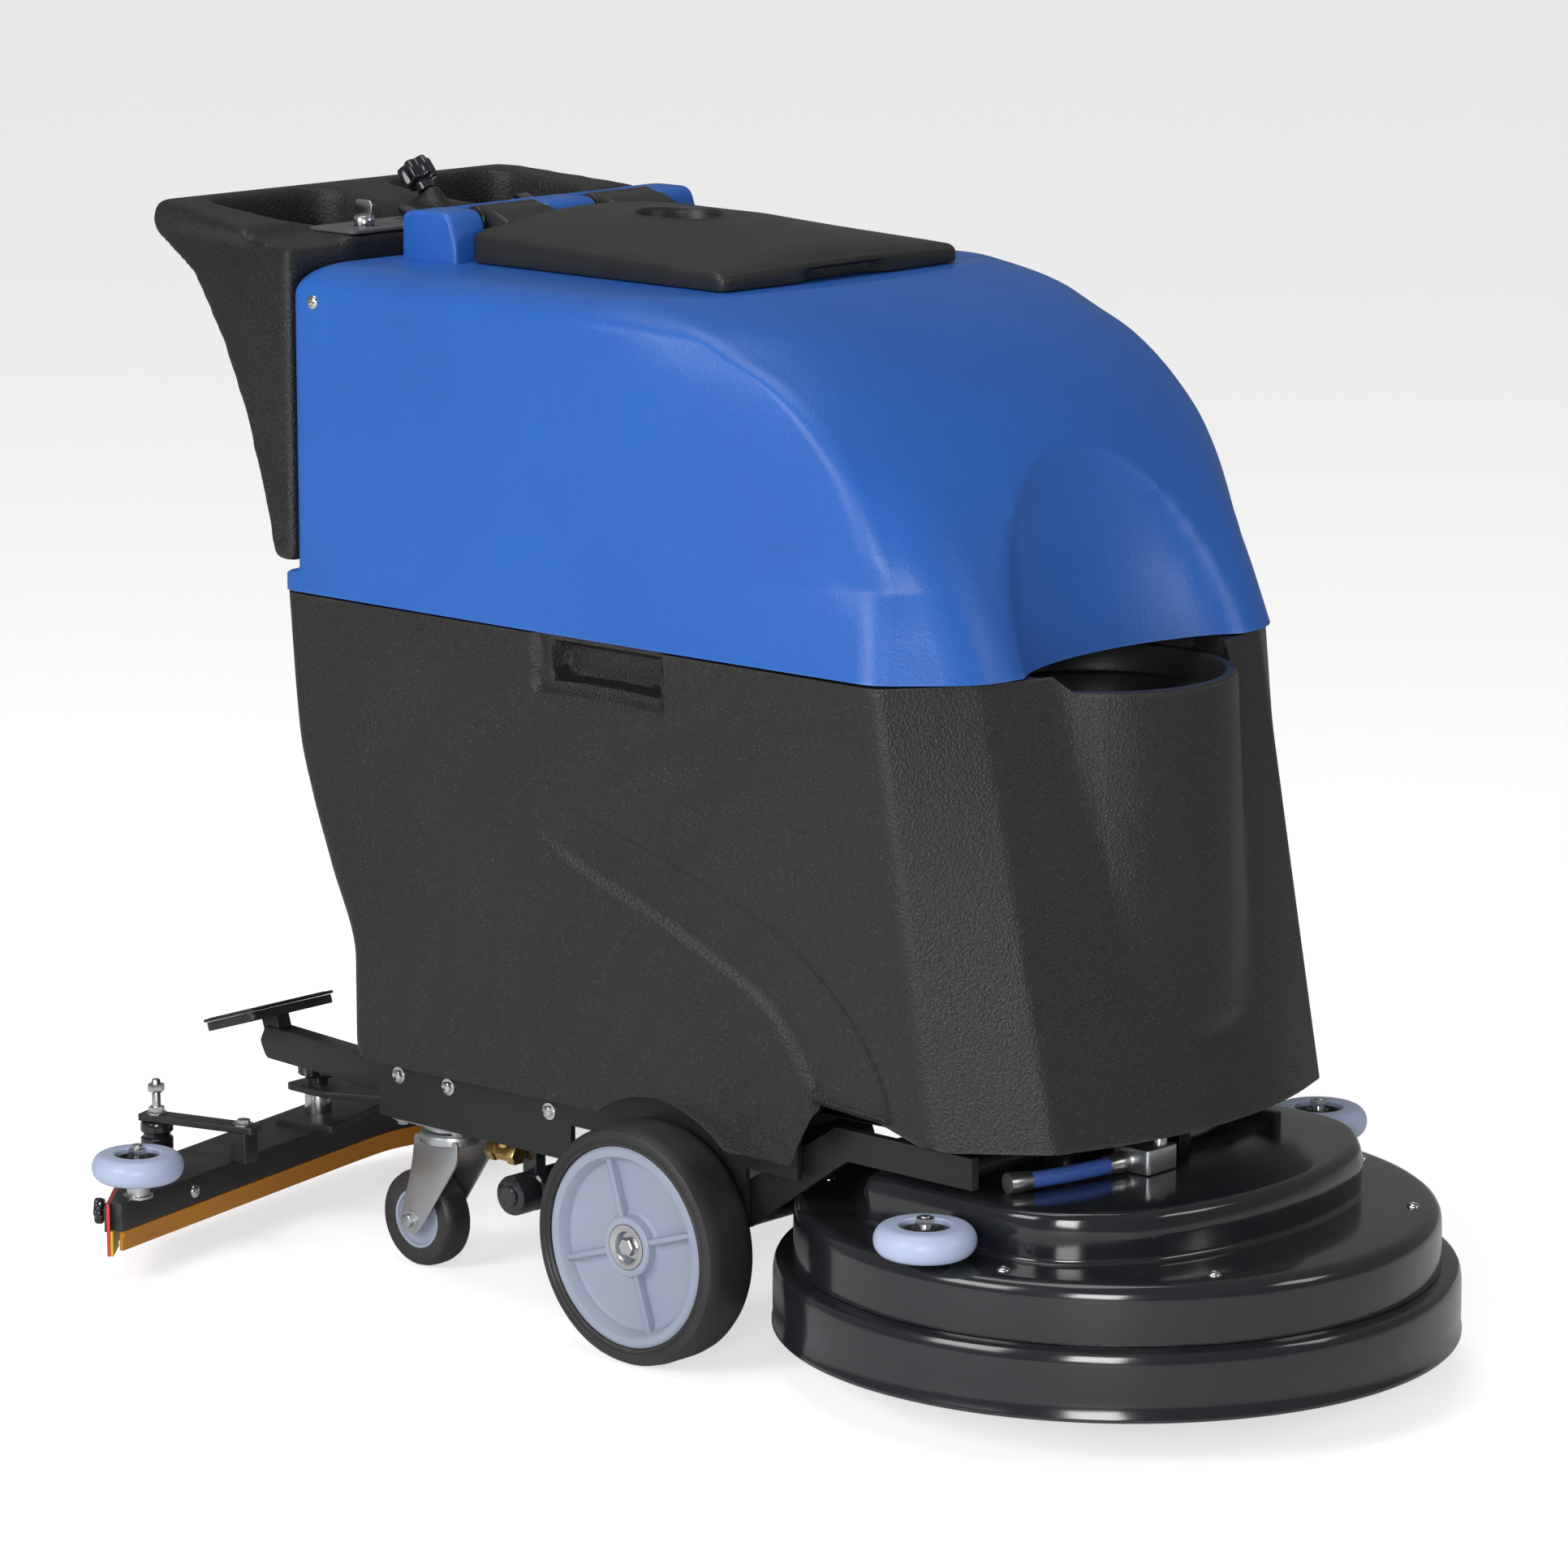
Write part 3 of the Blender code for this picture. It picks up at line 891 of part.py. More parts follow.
def console(tilt):
    """Moulded handle: a wedge behind the tank that ends in two hand loops."""
    front = TANK_REAR_X - GAP
    profile = [(front, 0.615), (-0.726, 0.615), (-0.748, 0.688), (-0.769, 0.742), (-0.800, 0.794),
               (-0.847, 0.845), (-0.900, 0.866), (-0.918, 0.872), (-0.924, 0.884), (-0.920, 0.897),
               (-0.906, 0.904), (-0.880, 0.903), (-0.765, 0.892), (-0.762, CONSOLE_TOP_Z),
               (front, CONSOLE_TOP_Z - 0.006)]
    mesh = plate(profile, -1.0, 1.0, "XZ")
    for vert in mesh.vertices:
        share = min(max((-0.720 - vert.co.x) / 0.200, 0.0), 1.0)
        vert.co.y *= BODY_HALF_WIDTH - 0.045 * share ** 1.5
    body = add("handle_console", mesh, BLACK_MOULDING, (0, 0, 0), tilt)
    rear, ahead, near, far = LOOP
    for _, side in SIDES:
        low_y, high_y = sorted((side * near, side * far))
        corner = 0.022
        outline = []
        for cx, cy, start in ((ahead - corner, high_y - corner, 0), (rear + corner, high_y - corner, 90),
                              (rear + corner, low_y + corner, 180), (ahead - corner, low_y + corner, 270)):
            for step in range(4):
                angle = math.radians(start + 30 * step)
                outline.append((cx + corner * math.cos(angle), cy + corner * math.sin(angle)))
        cut(body, tool(plate(outline, 0.700, 1.000), (0, 0, 0), tilt))
    inner = plate([(front + 0.010, 0.640), (-0.716, 0.640), (-0.738, 0.700), (-0.755, 0.735), (-0.755, 0.855),
                   (front + 0.010, 0.855)], -0.225, 0.225, "XZ")
    cut(body, tool(inner, (0, 0, 0), tilt))

    panel_low = CONSOLE_TOP_Z + GAP
    panel_top = panel_low + PANEL_THICKNESS
    recess = box((-0.7605, -0.172, CONSOLE_TOP_Z), (-0.690, 0.172, CONSOLE_TOP_Z + 0.030))
    ledge = box((-0.765, -0.178, CONSOLE_TOP_Z - 0.012), (front, 0.178, CONSOLE_TOP_Z))
    fuse(body, tool(ledge, (0, 0, 0), tilt))
    cut(body, tool(recess, (0, 0, 0), tilt))
    for name, side in SIDES:
        place = (ahead, side * TRIGGER_Y, TRIGGER_Z)
        cut(body, tool(rod(TRIGGER_RADIUS + RUNNING, 0.034, "X", 16), place, tilt))
        slide = joint("trigger_slide_" + name, place, tilt)
        add("trigger_" + name, rod(TRIGGER_RADIUS, 0.020, "X", 16), BRIGHT_STEEL,
            reach(slide) + Vector((0.002, 0, 0)), slide)
    add("control_panel", box((-0.7600, -0.170, panel_low), (-0.7035, 0.170, panel_top)),
        GREY_PLASTIC, (0, 0, 0), tilt)
    key_at = (-0.732, -0.130, panel_top + GAP)
    turn = joint("key_turn", key_at, tilt)
    key = add("key_switch", rod(0.009, 0.008, "Z", 20, middle=(0, 0, 0.004)), BRIGHT_STEEL,
              reach(turn), turn)
    fuse(key, tool(box((-0.010, -0.0015, 0.004), (0.010, 0.0015, 0.022)), reach(turn), turn))
    for name, y in (("brush_switch", -0.070), ("vacuum_switch", 0.070)):
        place = (-0.732, y, panel_top + 0.0005)
        rocker = joint(name + "_rock", place, tilt)
        shape = plate([(-0.0125, 0.0025), (0.000, 0.000), (0.0125, 0.0025), (0.0125, 0.0045),
                       (0.000, 0.0055), (-0.0125, 0.0100)],
                      -0.008, 0.008, "XZ")
        add(name, shape, GLOSS_BLACK, reach(rocker), rocker)
    knob_turn = joint("flow_knob_turn", KNOB_PLACE, tilt)
    seat = rod(0.012, 0.030, "Z", 20, middle=(0, 0, -0.009))
    fuse(body, tool(seat, KNOB_PLACE, tilt, (0, KNOB_TILT, 0)))
    star = turned([(0, 0.036), (0.010, 0.036), (0.016, 0.030), (0.016, 0.018), (0.008, 0.014),
                   (0.008, 0.0064), (0, 0.0064)], 18)
    add("flow_knob", star, GLOSS_BLACK, reach(knob_turn), knob_turn, (0, KNOB_TILT, 0))


solution_tank()
chassis()
water_line()
deck()
squeegee()
pedal()
upper_tank()
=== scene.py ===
# %% [markdown]
# # A walk-behind floor scrubber, dressed in numpy surfaces
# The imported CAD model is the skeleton: it says where every piece sits and how it moves.
# This lesson lays a fine skin over it.  Each step first says what the piece is on the
# real machine, then how its surface is worked out.

# %% The frame
import math

import bpy
import numpy as np
from mathutils import Matrix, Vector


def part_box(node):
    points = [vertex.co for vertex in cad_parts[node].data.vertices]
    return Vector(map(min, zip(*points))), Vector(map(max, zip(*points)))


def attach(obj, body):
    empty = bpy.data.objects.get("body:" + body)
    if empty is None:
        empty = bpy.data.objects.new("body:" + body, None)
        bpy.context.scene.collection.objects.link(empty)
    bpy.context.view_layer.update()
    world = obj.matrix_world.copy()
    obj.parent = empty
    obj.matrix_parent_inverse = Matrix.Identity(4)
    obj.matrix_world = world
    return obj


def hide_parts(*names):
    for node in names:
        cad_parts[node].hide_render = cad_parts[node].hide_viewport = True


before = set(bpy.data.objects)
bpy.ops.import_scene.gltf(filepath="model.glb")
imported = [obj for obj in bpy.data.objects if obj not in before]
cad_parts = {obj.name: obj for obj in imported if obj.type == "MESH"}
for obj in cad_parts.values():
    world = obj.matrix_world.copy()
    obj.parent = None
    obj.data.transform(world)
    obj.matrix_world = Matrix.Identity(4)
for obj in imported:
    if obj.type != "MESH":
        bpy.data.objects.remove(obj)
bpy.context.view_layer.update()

# %% [markdown]
# ## Where the lengths are measured from
# The machine was drawn from the brush axis: forward is +X, the left side is +Y and the
# floor is Z = 0.  Reading the brush axis from the skirt's box keeps the lesson in step
# with the CAD, because every piece is moved there when its mesh is made.

# %% Shared sizes
skirt_low, skirt_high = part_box("deck_skirt")
AXIS_X = (skirt_low.x + skirt_high.x) / 2
SEAM_Z = 0.590              # joint between the black and the blue tank
HALF_WIDTH = 0.247          # both tanks
TANK_TOP = 0.867            # flat top of the recovery tank
SIDES = (("right", -1), ("left", 1))
print("brush axis stands at x =", round(AXIS_X, 4))


# %% [markdown]
# ## Curves
# Moulded parts have no sharp corner.  A polyline with its corners traded for short
# parabolas gives their outlines, and a monotone cubic through a few knots gives their
# long lines, without the overshoot that an ordinary spline would add.

# %% Rounded outlines and smooth lines
def rounded(corners, radius, steps=6, closed=True):
    """Trade each corner C for the parabola (1-t)^2 A + 2t(1-t) C + t^2 B.

    A and B lie on the two sides, a radius away from C, or half a side if that is less.
    """
    c = np.asarray(corners, float)
    back, ahead = np.roll(c, 1, 0) - c, np.roll(c, -1, 0) - c
    long_back = np.linalg.norm(back, axis=1)
    long_ahead = np.linalg.norm(ahead, axis=1)
    reach = np.minimum(np.broadcast_to(radius, len(c)), 0.49 * np.minimum(long_back, long_ahead))
    t = np.linspace(0, 1, steps)[None, :, None]
    a = (c + back * (reach / long_back)[:, None])[:, None]
    b = (c + ahead * (reach / long_ahead)[:, None])[:, None]
    arcs = (1 - t) ** 2 * a + 2 * t * (1 - t) * c[:, None] + t ** 2 * b
    if closed:
        return arcs.reshape(-1, c.shape[1])
    return np.concatenate([c[:1], arcs[1:-1].reshape(-1, c.shape[1]), c[-1:]])


def ring(corners, radii, spans, steps=6):
    """A rounded closed outline with a fixed number of points on each straight side.

    Rings of one call pattern have equal counts, so they can be joined into a skin.
    """
    arcs = rounded(corners, radii, steps).reshape(len(corners), steps, -1)
    parts = []
    for arc, following, count in zip(arcs, np.roll(arcs, -1, 0), spans):
        share = np.arange(1, count + 1)[:, None] / (count + 1)
        parts += [arc, arc[-1] + (following[0] - arc[-1]) * share]
    return np.concatenate(parts)


def smooth_line(knots, at):
    """Monotone cubic through (place, value) knots, read at an array of places.

    The slope at a knot is the harmonic mean of its two chords, or 0 at a turning point.
    """
    x, y = np.asarray(knots, float).T
    at = np.clip(at, x[0], x[-1])
    chord = np.diff(y) / np.diff(x)
    product, total = chord[:-1] * chord[1:], chord[:-1] + chord[1:]
    safe = np.where(product > 0, total, 1.0)
    slope = np.concatenate([chord[:1], np.where(product > 0, 2 * product / safe, 0.0), chord[-1:]])
    i = np.clip(np.searchsorted(x, at, side="right") - 1, 0, len(x) - 2)
    h = x[i + 1] - x[i]
    t = (at - x[i]) / h
    return ((2 * t ** 3 - 3 * t ** 2 + 1) * y[i] + (t ** 3 - 2 * t ** 2 + t) * h * slope[i]
            + (3 * t ** 2 - 2 * t ** 3) * y[i + 1] + (t ** 3 - t ** 2) * h * slope[i + 1])


def step(low, high, at):
    """Smooth step: 0 below low, 1 above high, 3t^2 - 2t^3 between."""
    t = np.clip((at - low) / (high - low), 0, 1)
    return t * t * (3 - 2 * t)


def inset(outline, distance):
    """Move each point of a closed plane outline inwards, square to its neighbours' chord."""
    chord = np.roll(outline, -1, 0) - np.roll(outline, 1, 0)
    chord /= np.linalg.norm(chord, axis=1)[:, None] + 1e-12
    x, y = outline.T
    turning = np.sign(np.sum(x * np.roll(y, -1) - y * np.roll(x, -1)))
    normal = np.stack([-chord[:, 1], chord[:, 0]], 1) * turning
    return outline + normal * np.reshape(distance, (-1, 1))


# %% [markdown]
# ## Skins
# A skin is a grid of points, rows by columns.  Neighbouring points make quads, and the
# first and last rows are closed with a flat face or a pole.  A closed skin should enclose
# a positive volume: if the sum of its signed tetrahedra is negative, it is turned round.

# %% From grids of points to closed skins
def outward(verts, faces):
    """Turn every face round if the signed volume under them is negative."""
    total = 0.0
    for group in faces:
        first = verts[group[:, 0]]
        for k in range(1, group.shape[1] - 1):
            total += np.sum(first * np.cross(verts[group[:, k]], verts[group[:, k + 1]]))
    return verts, [g[:, ::-1] for g in faces] if total < 0 else faces


def skin(points, start="face", end="face", wrap_rows=False):
    """Quads between the rows of a grid whose rows are closed loops."""
    rows, cols = points.shape[:2]
    verts = points.reshape(-1, 3)
    r = np.arange(rows if wrap_rows else rows - 1)[:, None]
    c = np.arange(cols)[None, :]
    r2, c2 = (r + 1) % rows, (c + 1) % cols
    faces = [np.stack([r * cols + c, r * cols + c2, r2 * cols + c2, r2 * cols + c], -1).reshape(-1, 4)]
    if not wrap_rows:
        loop = np.arange(cols)
        for row, kind in ((0, start), (rows - 1, end)):
            edge = row * cols + (loop[::-1] if row == 0 else loop)
            if kind == "face":
                faces.append(edge[None])
            else:
                verts = np.vstack([verts, points[row].mean(0)])
                faces.append(np.stack([edge, np.roll(edge, -1), np.full(cols, len(verts) - 1)], 1))
    return outward(verts, faces)


def basis(axis):
    """Three unit vectors: two across the axis, then the axis itself."""
    w = np.asarray(axis, float) / np.linalg.norm(axis)
    start = np.array([1.0, 0, 0]) if abs(w[0]) < 0.9 else np.array([0, 1.0, 0])
    u = start - w * (start @ w)
    u /= np.linalg.norm(u)
    return u, np.cross(w, u), w


def turned(profile, centre=(0, 0, 0), axis=(0, 0, 1), count=64, lobes=0, depth=0.0):
    """Turn (radius, height) points about an axis: P = C + r (cos a U + sin a V) + h W.

    A profile that starts and ends off the axis is the loop of a ring's section.  Lobes
    make a star: r is multiplied by 1 + depth cos(lobes a).
    """
    profile = np.asarray(profile, float)
    closed = profile[0, 0] > 0 and profile[-1, 0] > 0
    r = np.maximum(profile[:, 0], 0.00005)[:, None, None]
    u, v, w = basis(axis)
    a = (np.arange(count) * 2 * np.pi / count)[None, :, None]
    r = r * (1 + depth * np.cos(lobes * a))
    points = np.asarray(centre) + r * (np.cos(a) * u + np.sin(a) * v) + profile[:, 1][:, None, None] * w
    return skin(points, "pole", "pole", wrap_rows=closed)


PLANES = {"XY": (0, 1, 2), "XZ": (0, 2, 1), "YZ": (1, 2, 0)}


def slab(outline, low, high, edge=0.001, plane="XY", steps=4):
    """An outline given thickness, with quarter-round edges.

    At angle a the outline is inset by edge (1 - sin a) at height edge (1 - cos a).
    """
    outline = np.asarray(outline, float)
    a = np.linspace(0, np.pi / 2, steps)
    heights = np.concatenate([low + edge * (1 - np.cos(a)), high - edge * (1 - np.cos(a[::-1]))])
    insets = np.concatenate([edge * (1 - np.sin(a)), edge * (1 - np.sin(a[::-1]))])
    flat = np.stack([inset(outline, d) for d in insets])
    points = np.empty((*flat.shape[:2], 3))
    first, second, third = PLANES[plane]
    points[..., first], points[..., second] = flat[..., 0], flat[..., 1]
    points[..., third] = heights[:, None]
    return skin(points)


def block(low, high, edge=0.001):
    """A box between two corners, rounded all over."""
    (x0, y0, z0), (x1, y1, z1) = low, high
    return slab(rounded([(x0, y0), (x1, y0), (x1, y1), (x0, y1)], edge, 4), z0, z1, edge)


def moved(shape, matrix):
    """A shape's points through a 4 x 4 matrix."""
    verts, faces = shape
    m = np.array(matrix)
    return verts @ m[:3, :3].T + m[:3, 3], faces


# %% [markdown]
# ## From shapes to objects
# A piece is one or more closed skins in one mesh.  It is moved to the brush axis, given a
# finish and hung on the CAD body that carries it, and the CAD nodes it stands for are hidden.

# %% Making a piece
def piece(name, shapes, finish, body, stands_for=(), sharp=38):
    """One object from closed skins, riding on a CAD body."""
    start = np.cumsum([0] + [len(verts) for verts, _ in shapes])
    verts = np.concatenate([verts for verts, _ in shapes]) + (AXIS_X, 0, 0)
    faces = [f for (_, groups), n in zip(shapes, start) for g in groups for f in (g + n).tolist()]
    mesh = bpy.data.meshes.new(name)
    mesh.from_pydata(verts.tolist(), [], faces)
    mesh.materials.append(finish)
    mesh.shade_smooth()
    mesh.set_sharp_from_angle(angle=math.radians(sharp))
    obj = bpy.data.objects.new(name, mesh)
    bpy.context.scene.collection.objects.link(obj)
    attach(obj, body)
    if stands_for:
        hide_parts(*stands_for)
    print(name, len(mesh.polygons), "faces")
    return obj


# %% [markdown]
# ## Finishes
# Every moulded part of this machine shows a fine grain, and most show a little dust on
# their upper sides and paler rubbed edges.  Each of those effects is a node group, built
# once, with its amounts as inputs.  The groups put out masks and heights only; the shader
# itself stays in each material.

# %% A small node builder
def group(name, inputs, outputs):
    """A shader node group with float inputs (name, default) and named outputs."""
    tree = bpy.data.node_groups.new(name, "ShaderNodeTree")
    tree.interface.new_socket("Vector", in_out="INPUT", socket_type="NodeSocketVector")
    for label, value in inputs:
        tree.interface.new_socket(label, in_out="INPUT", socket_type="NodeSocketFloat").default_value = value
    for label in outputs:
        tree.interface.new_socket(label, in_out="OUTPUT", socket_type="NodeSocketFloat")
    return tree, tree.nodes.new("NodeGroupInput"), tree.nodes.new("NodeGroupOutput")


def node(tree, kind, *links, **values):
    """A node with sockets set by name or number, and links from (output, input) pairs."""
    made = tree.nodes.new(kind)
    for key, value in values.items():
        setattr(made, key, value)
    for source, target in links:
        if isinstance(source, (int, float, tuple)):
            made.inputs[target].default_value = source
        else:
            tree.links.new(source, made.inputs[target])
    return made


def math_node(tree, operation, first, second=0.5, clamp=False):
    """One sum, product or comparison of two values."""
    return node(tree, "ShaderNodeMath", (first, 0), (second, 1), operation=operation,
                use_clamp=clamp).outputs[0]


def noise(tree, vector, scale, detail=2.0, roughness=0.5):
    """Cloudy noise, 0 to 1, with about scale cells to the metre."""
    return node(tree, "ShaderNodeTexNoise", (vector, "Vector"), (scale, "Scale"), (detail, "Detail"),
                (roughness, "Roughness")).outputs["Fac"]


def between(tree, value, low, high, first=0.0, last=1.0):
    """Carry low to high over to first to last, and hold the ends."""
    return node(tree, "ShaderNodeMapRange", (value, "Value"), (low, "From Min"), (high, "From Max"),
                (first, "To Min"), (last, "To Max")).outputs["Result"]


# %% [markdown]
# The mould's grain: tumbled polyethylene copies the blasted steel of its mould, so the
# skin is a field of millimetre dimples with finer noise on top, and here and there a speck.

# %% Group: moulded grain
grain, g_in, g_out = group("moulded_grain", [("Scale", 600.0)], ["Height", "Speck", "Cloud"])
cell = node(grain, "ShaderNodeTexVoronoi", (g_in.outputs["Vector"], "Vector"),
            (g_in.outputs["Scale"], "Scale"), feature="SMOOTH_F1").outputs["Distance"]
fine = noise(grain, g_in.outputs["Vector"], g_in.outputs["Scale"], 3.0, 0.6)
grain.links.new(math_node(grain, "ADD", cell, fine), g_out.inputs["Height"])
tiny = math_node(grain, "MULTIPLY", g_in.outputs["Scale"], 1.6)
grain.links.new(between(grain, noise(grain, g_in.outputs["Vector"], tiny, 1.0), 0.64, 0.76),
                g_out.inputs["Speck"])
grain.links.new(between(grain, noise(grain, g_in.outputs["Vector"], 7.0, 4.0), 0.3, 0.7),
                g_out.inputs["Cloud"])
print("node group", grain.name, "has", len(grain.nodes), "nodes")

# %% [markdown]
# Rubbed edges: a corner is where the surface bends outwards, which the renderer calls
# pointiness.  Noise breaks the line up, as handling does.

# %% Group: rubbed edges
rubbed, r_in, r_out = group("rubbed_edges", [("Amount", 0.6)], ["Mask"])
bend = node(rubbed, "ShaderNodeNewGeometry").outputs["Pointiness"]
patchy = between(rubbed, noise(rubbed, r_in.outputs["Vector"], 38.0, 5.0, 0.65), 0.35, 0.75)
edge = between(rubbed, bend, 0.52, 0.60)
rubbed.links.new(math_node(rubbed, "MULTIPLY", math_node(rubbed, "MULTIPLY", edge, patchy),
                           r_in.outputs["Amount"], True), r_out.inputs["Mask"])
print("node group", rubbed.name, "has", len(rubbed.nodes), "nodes")

# %% [markdown]
# Dust settles on what faces up and thickens near the floor, in soft clouds.

# %% Group: settled dust
dust, d_in, d_out = group("settled_dust", [("Amount", 0.5)], ["Mask"])
up = node(dust, "ShaderNodeSeparateXYZ",
          (node(dust, "ShaderNodeNewGeometry").outputs["Normal"], "Vector")).outputs["Z"]
height = node(dust, "ShaderNodeSeparateXYZ", (d_in.outputs["Vector"], "Vector")).outputs["Z"]
low_down = between(dust, height, 0.0, 0.45, 1.0, 0.35)
lying = between(dust, up, 0.2, 1.0)
cloudy = between(dust, noise(dust, d_in.outputs["Vector"], 16.0, 5.0, 0.6), 0.35, 0.8)
dust.links.new(math_node(dust, "MULTIPLY", math_node(dust, "MULTIPLY", lying, low_down),
                         math_node(dust, "MULTIPLY", cloudy, d_in.outputs["Amount"]), True),
               d_out.inputs["Mask"])
print("node group", dust.name, "has", len(dust.nodes), "nodes")

# %% [markdown]
# One recipe then covers all plastics, rubbers and coated or bare metals: a base colour
# that drifts a little between two shades, specks, rubbed edges and dust mixed over it, and
# the grain as bump.  What differs from finish to finish is only the numbers.

# %% A finish
def finish(name, colour, second, roughness, metallic=0.0, scale=600.0, bump=0.15, specks=0.0,
           worn=(0.30, 0.30, 0.31), wear=0.0, dusty=0.0, coat=0.0, rough_spread=0.06, shrink=(1, 1, 1)):
    """Principled material: colour drift, specks, rubbed edges, dust and grain."""
    mat = bpy.data.materials.new(name)
    mat.use_nodes = True
    tree = mat.node_tree
    shader = tree.nodes["Principled BSDF"]
    place = node(tree, "ShaderNodeTexCoord").outputs["Object"]
    turned_place = node(tree, "ShaderNodeMapping", (place, "Vector"), (shrink, "Scale")).outputs[0]

    skin_grain = node(tree, "ShaderNodeGroup", node_tree=grain)
    tree.links.new(turned_place, skin_grain.inputs["Vector"])
    skin_grain.inputs["Scale"].default_value = scale

    def over(base, top, mask):
        """Lay one colour over another where the mask is 1."""
        mixed = node(tree, "ShaderNodeMix", data_type="RGBA")
        tree.links.new(mask, mixed.inputs["Factor"])
        for value, key in ((base, "A"), (top, "B")):
            socket = next(s for s in mixed.inputs if s.name == key and s.type == "RGBA")
            if isinstance(value, tuple):
                socket.default_value = (*value, 1)
            else:
                tree.links.new(value, socket)
        return next(s for s in mixed.outputs if s.type == "RGBA")

    shade = over(colour, second, skin_grain.outputs["Cloud"])
    rough = between(tree, skin_grain.outputs["Cloud"], 0.0, 1.0, roughness - rough_spread,
                    roughness + rough_spread)
    if specks:
        shade = over(shade, worn, math_node(tree, "MULTIPLY", skin_grain.outputs["Speck"], specks))
    if wear:
        edges = node(tree, "ShaderNodeGroup", node_tree=rubbed)
        tree.links.new(place, edges.inputs["Vector"])
        edges.inputs["Amount"].default_value = wear
        shade = over(shade, worn, edges.outputs["Mask"])
    if dusty:
        film = node(tree, "ShaderNodeGroup", node_tree=dust)
        tree.links.new(place, film.inputs["Vector"])
        film.inputs["Amount"].default_value = dusty
        shade = over(shade, (0.34, 0.33, 0.31), film.outputs["Mask"])
        rough = math_node(tree, "ADD", rough, math_node(tree, "MULTIPLY", film.outputs["Mask"], 0.5), True)
    tree.links.new(shade, shader.inputs["Base Color"])
    tree.links.new(rough, shader.inputs["Roughness"])
    shader.inputs["Metallic"].default_value = metallic
    shader.inputs["Coat Weight"].default_value = coat
    shader.inputs["Coat Roughness"].default_value = 0.12
    shader.inputs["Specular IOR Level"].default_value = 0.42
    relief = node(tree, "ShaderNodeBump", (bump, "Strength"), (0.0006, "Distance"),
                  (skin_grain.outputs["Height"], "Height"))
    tree.links.new(relief.outputs["Normal"], shader.inputs["Normal"])
    return mat


# %% [markdown]
# ## The finishes of this machine
# The blue and black tanks share one process but not one look: the blue skin is satin and
# even, the black one shows pale specks.  Deck and knobs are glossy injection mouldings.

# %% Finishes
BLUE = finish("blue_moulding", (0.022, 0.130, 0.500), (0.018, 0.108, 0.440), 0.38, scale=420, bump=0.22,
              specks=0.14, worn=(0.22, 0.42, 0.82), wear=0.35)
BLACK = finish("black_moulding", (0.0105, 0.0105, 0.0108), (0.0155, 0.0152, 0.0150), 0.42, scale=520,
               bump=0.9,
               specks=0.6, worn=(0.13, 0.13, 0.135), wear=0.35, dusty=0.06)
LID_BLACK = finish("lid_black", (0.016, 0.016, 0.016), (0.024, 0.023, 0.022), 0.40, scale=700, bump=0.18,
                   specks=0.10, worn=(0.10, 0.10, 0.10), wear=0.3, dusty=0.06)
GLOSS = finish("gloss_black", (0.010, 0.011, 0.014), (0.014, 0.015, 0.019), 0.15, scale=300, bump=0.02,
               worn=(0.09, 0.09, 0.10), wear=0.25, dusty=0.05, coat=0.5, rough_spread=0.04)
RUBBER = finish("black_rubber", (0.012, 0.012, 0.012), (0.020, 0.020, 0.020), 0.34, scale=420, bump=0.06,
                worn=(0.07, 0.07, 0.07), wear=0.3, dusty=0.22, rough_spread=0.08)
TYRE = finish("black_tyre", (0.016, 0.016, 0.017), (0.028, 0.028, 0.029), 0.44, scale=500, bump=0.10,
              worn=(0.10, 0.10, 0.10), wear=0.4, dusty=0.25, rough_spread=0.09)
COATED = finish("dark_powder_coat", (0.017, 0.017, 0.018), (0.024, 0.024, 0.025), 0.40, metallic=0.1,
                scale=900,
                bump=0.16, worn=(0.20, 0.20, 0.21), wear=0.45, dusty=0.12)
FRAME = finish("frame_paint", (0.015, 0.015, 0.016), (0.019, 0.019, 0.020), 0.42, metallic=0.1, scale=900,
               bump=0.12, dusty=0.05)
ZINC = finish("zinc_plate", (0.56, 0.57, 0.58), (0.42, 0.44, 0.46), 0.33, metallic=0.95, scale=180, bump=0.05,
              worn=(0.75, 0.75, 0.74), wear=0.4, dusty=0.10, rough_spread=0.10)
STEEL = finish("bright_steel", (0.66, 0.66, 0.66), (0.55, 0.55, 0.56), 0.22, metallic=1.0, scale=420,
               bump=0.05,
               worn=(0.85, 0.85, 0.85), wear=0.3, rough_spread=0.08, shrink=(1, 1, 12))
LILAC = finish("grey_lilac_plastic", (0.34, 0.375, 0.480), (0.30, 0.335, 0.435), 0.42, scale=500, bump=0.06,
               worn=(0.55, 0.58, 0.66), wear=0.3, dusty=0.10)
PALE = finish("pale_roller", (0.50, 0.575, 0.780), (0.43, 0.500, 0.700), 0.34, scale=260, bump=0.16,
              worn=(0.70, 0.75, 0.86), wear=0.3, dusty=0.12)
ORANGE = finish("orange_blade", (0.60, 0.235, 0.012), (0.50, 0.180, 0.010), 0.36, scale=300, bump=0.05,
                worn=(0.70, 0.45, 0.20), wear=0.3, dusty=0.14)
RED = finish("red_blade", (0.68, 0.026, 0.018), (0.55, 0.020, 0.014), 0.34, scale=300, bump=0.05,
             worn=(0.80, 0.30, 0.25), wear=0.3, dusty=0.10)
YELLOW = finish("yellow_strip", (0.75, 0.50, 0.03), (0.66, 0.42, 0.02), 0.4, scale=300, bump=0.05)
BRAID = finish("blue_braid", (0.030, 0.085, 0.42), (0.10, 0.20, 0.55), 0.5, scale=900, bump=0.1, dusty=0.1)
BRASS = finish("brass", (0.62, 0.42, 0.16), (0.50, 0.33, 0.11), 0.26, metallic=1.0, scale=300, bump=0.05,
               worn=(0.80, 0.62, 0.30), wear=0.4, dusty=0.10)
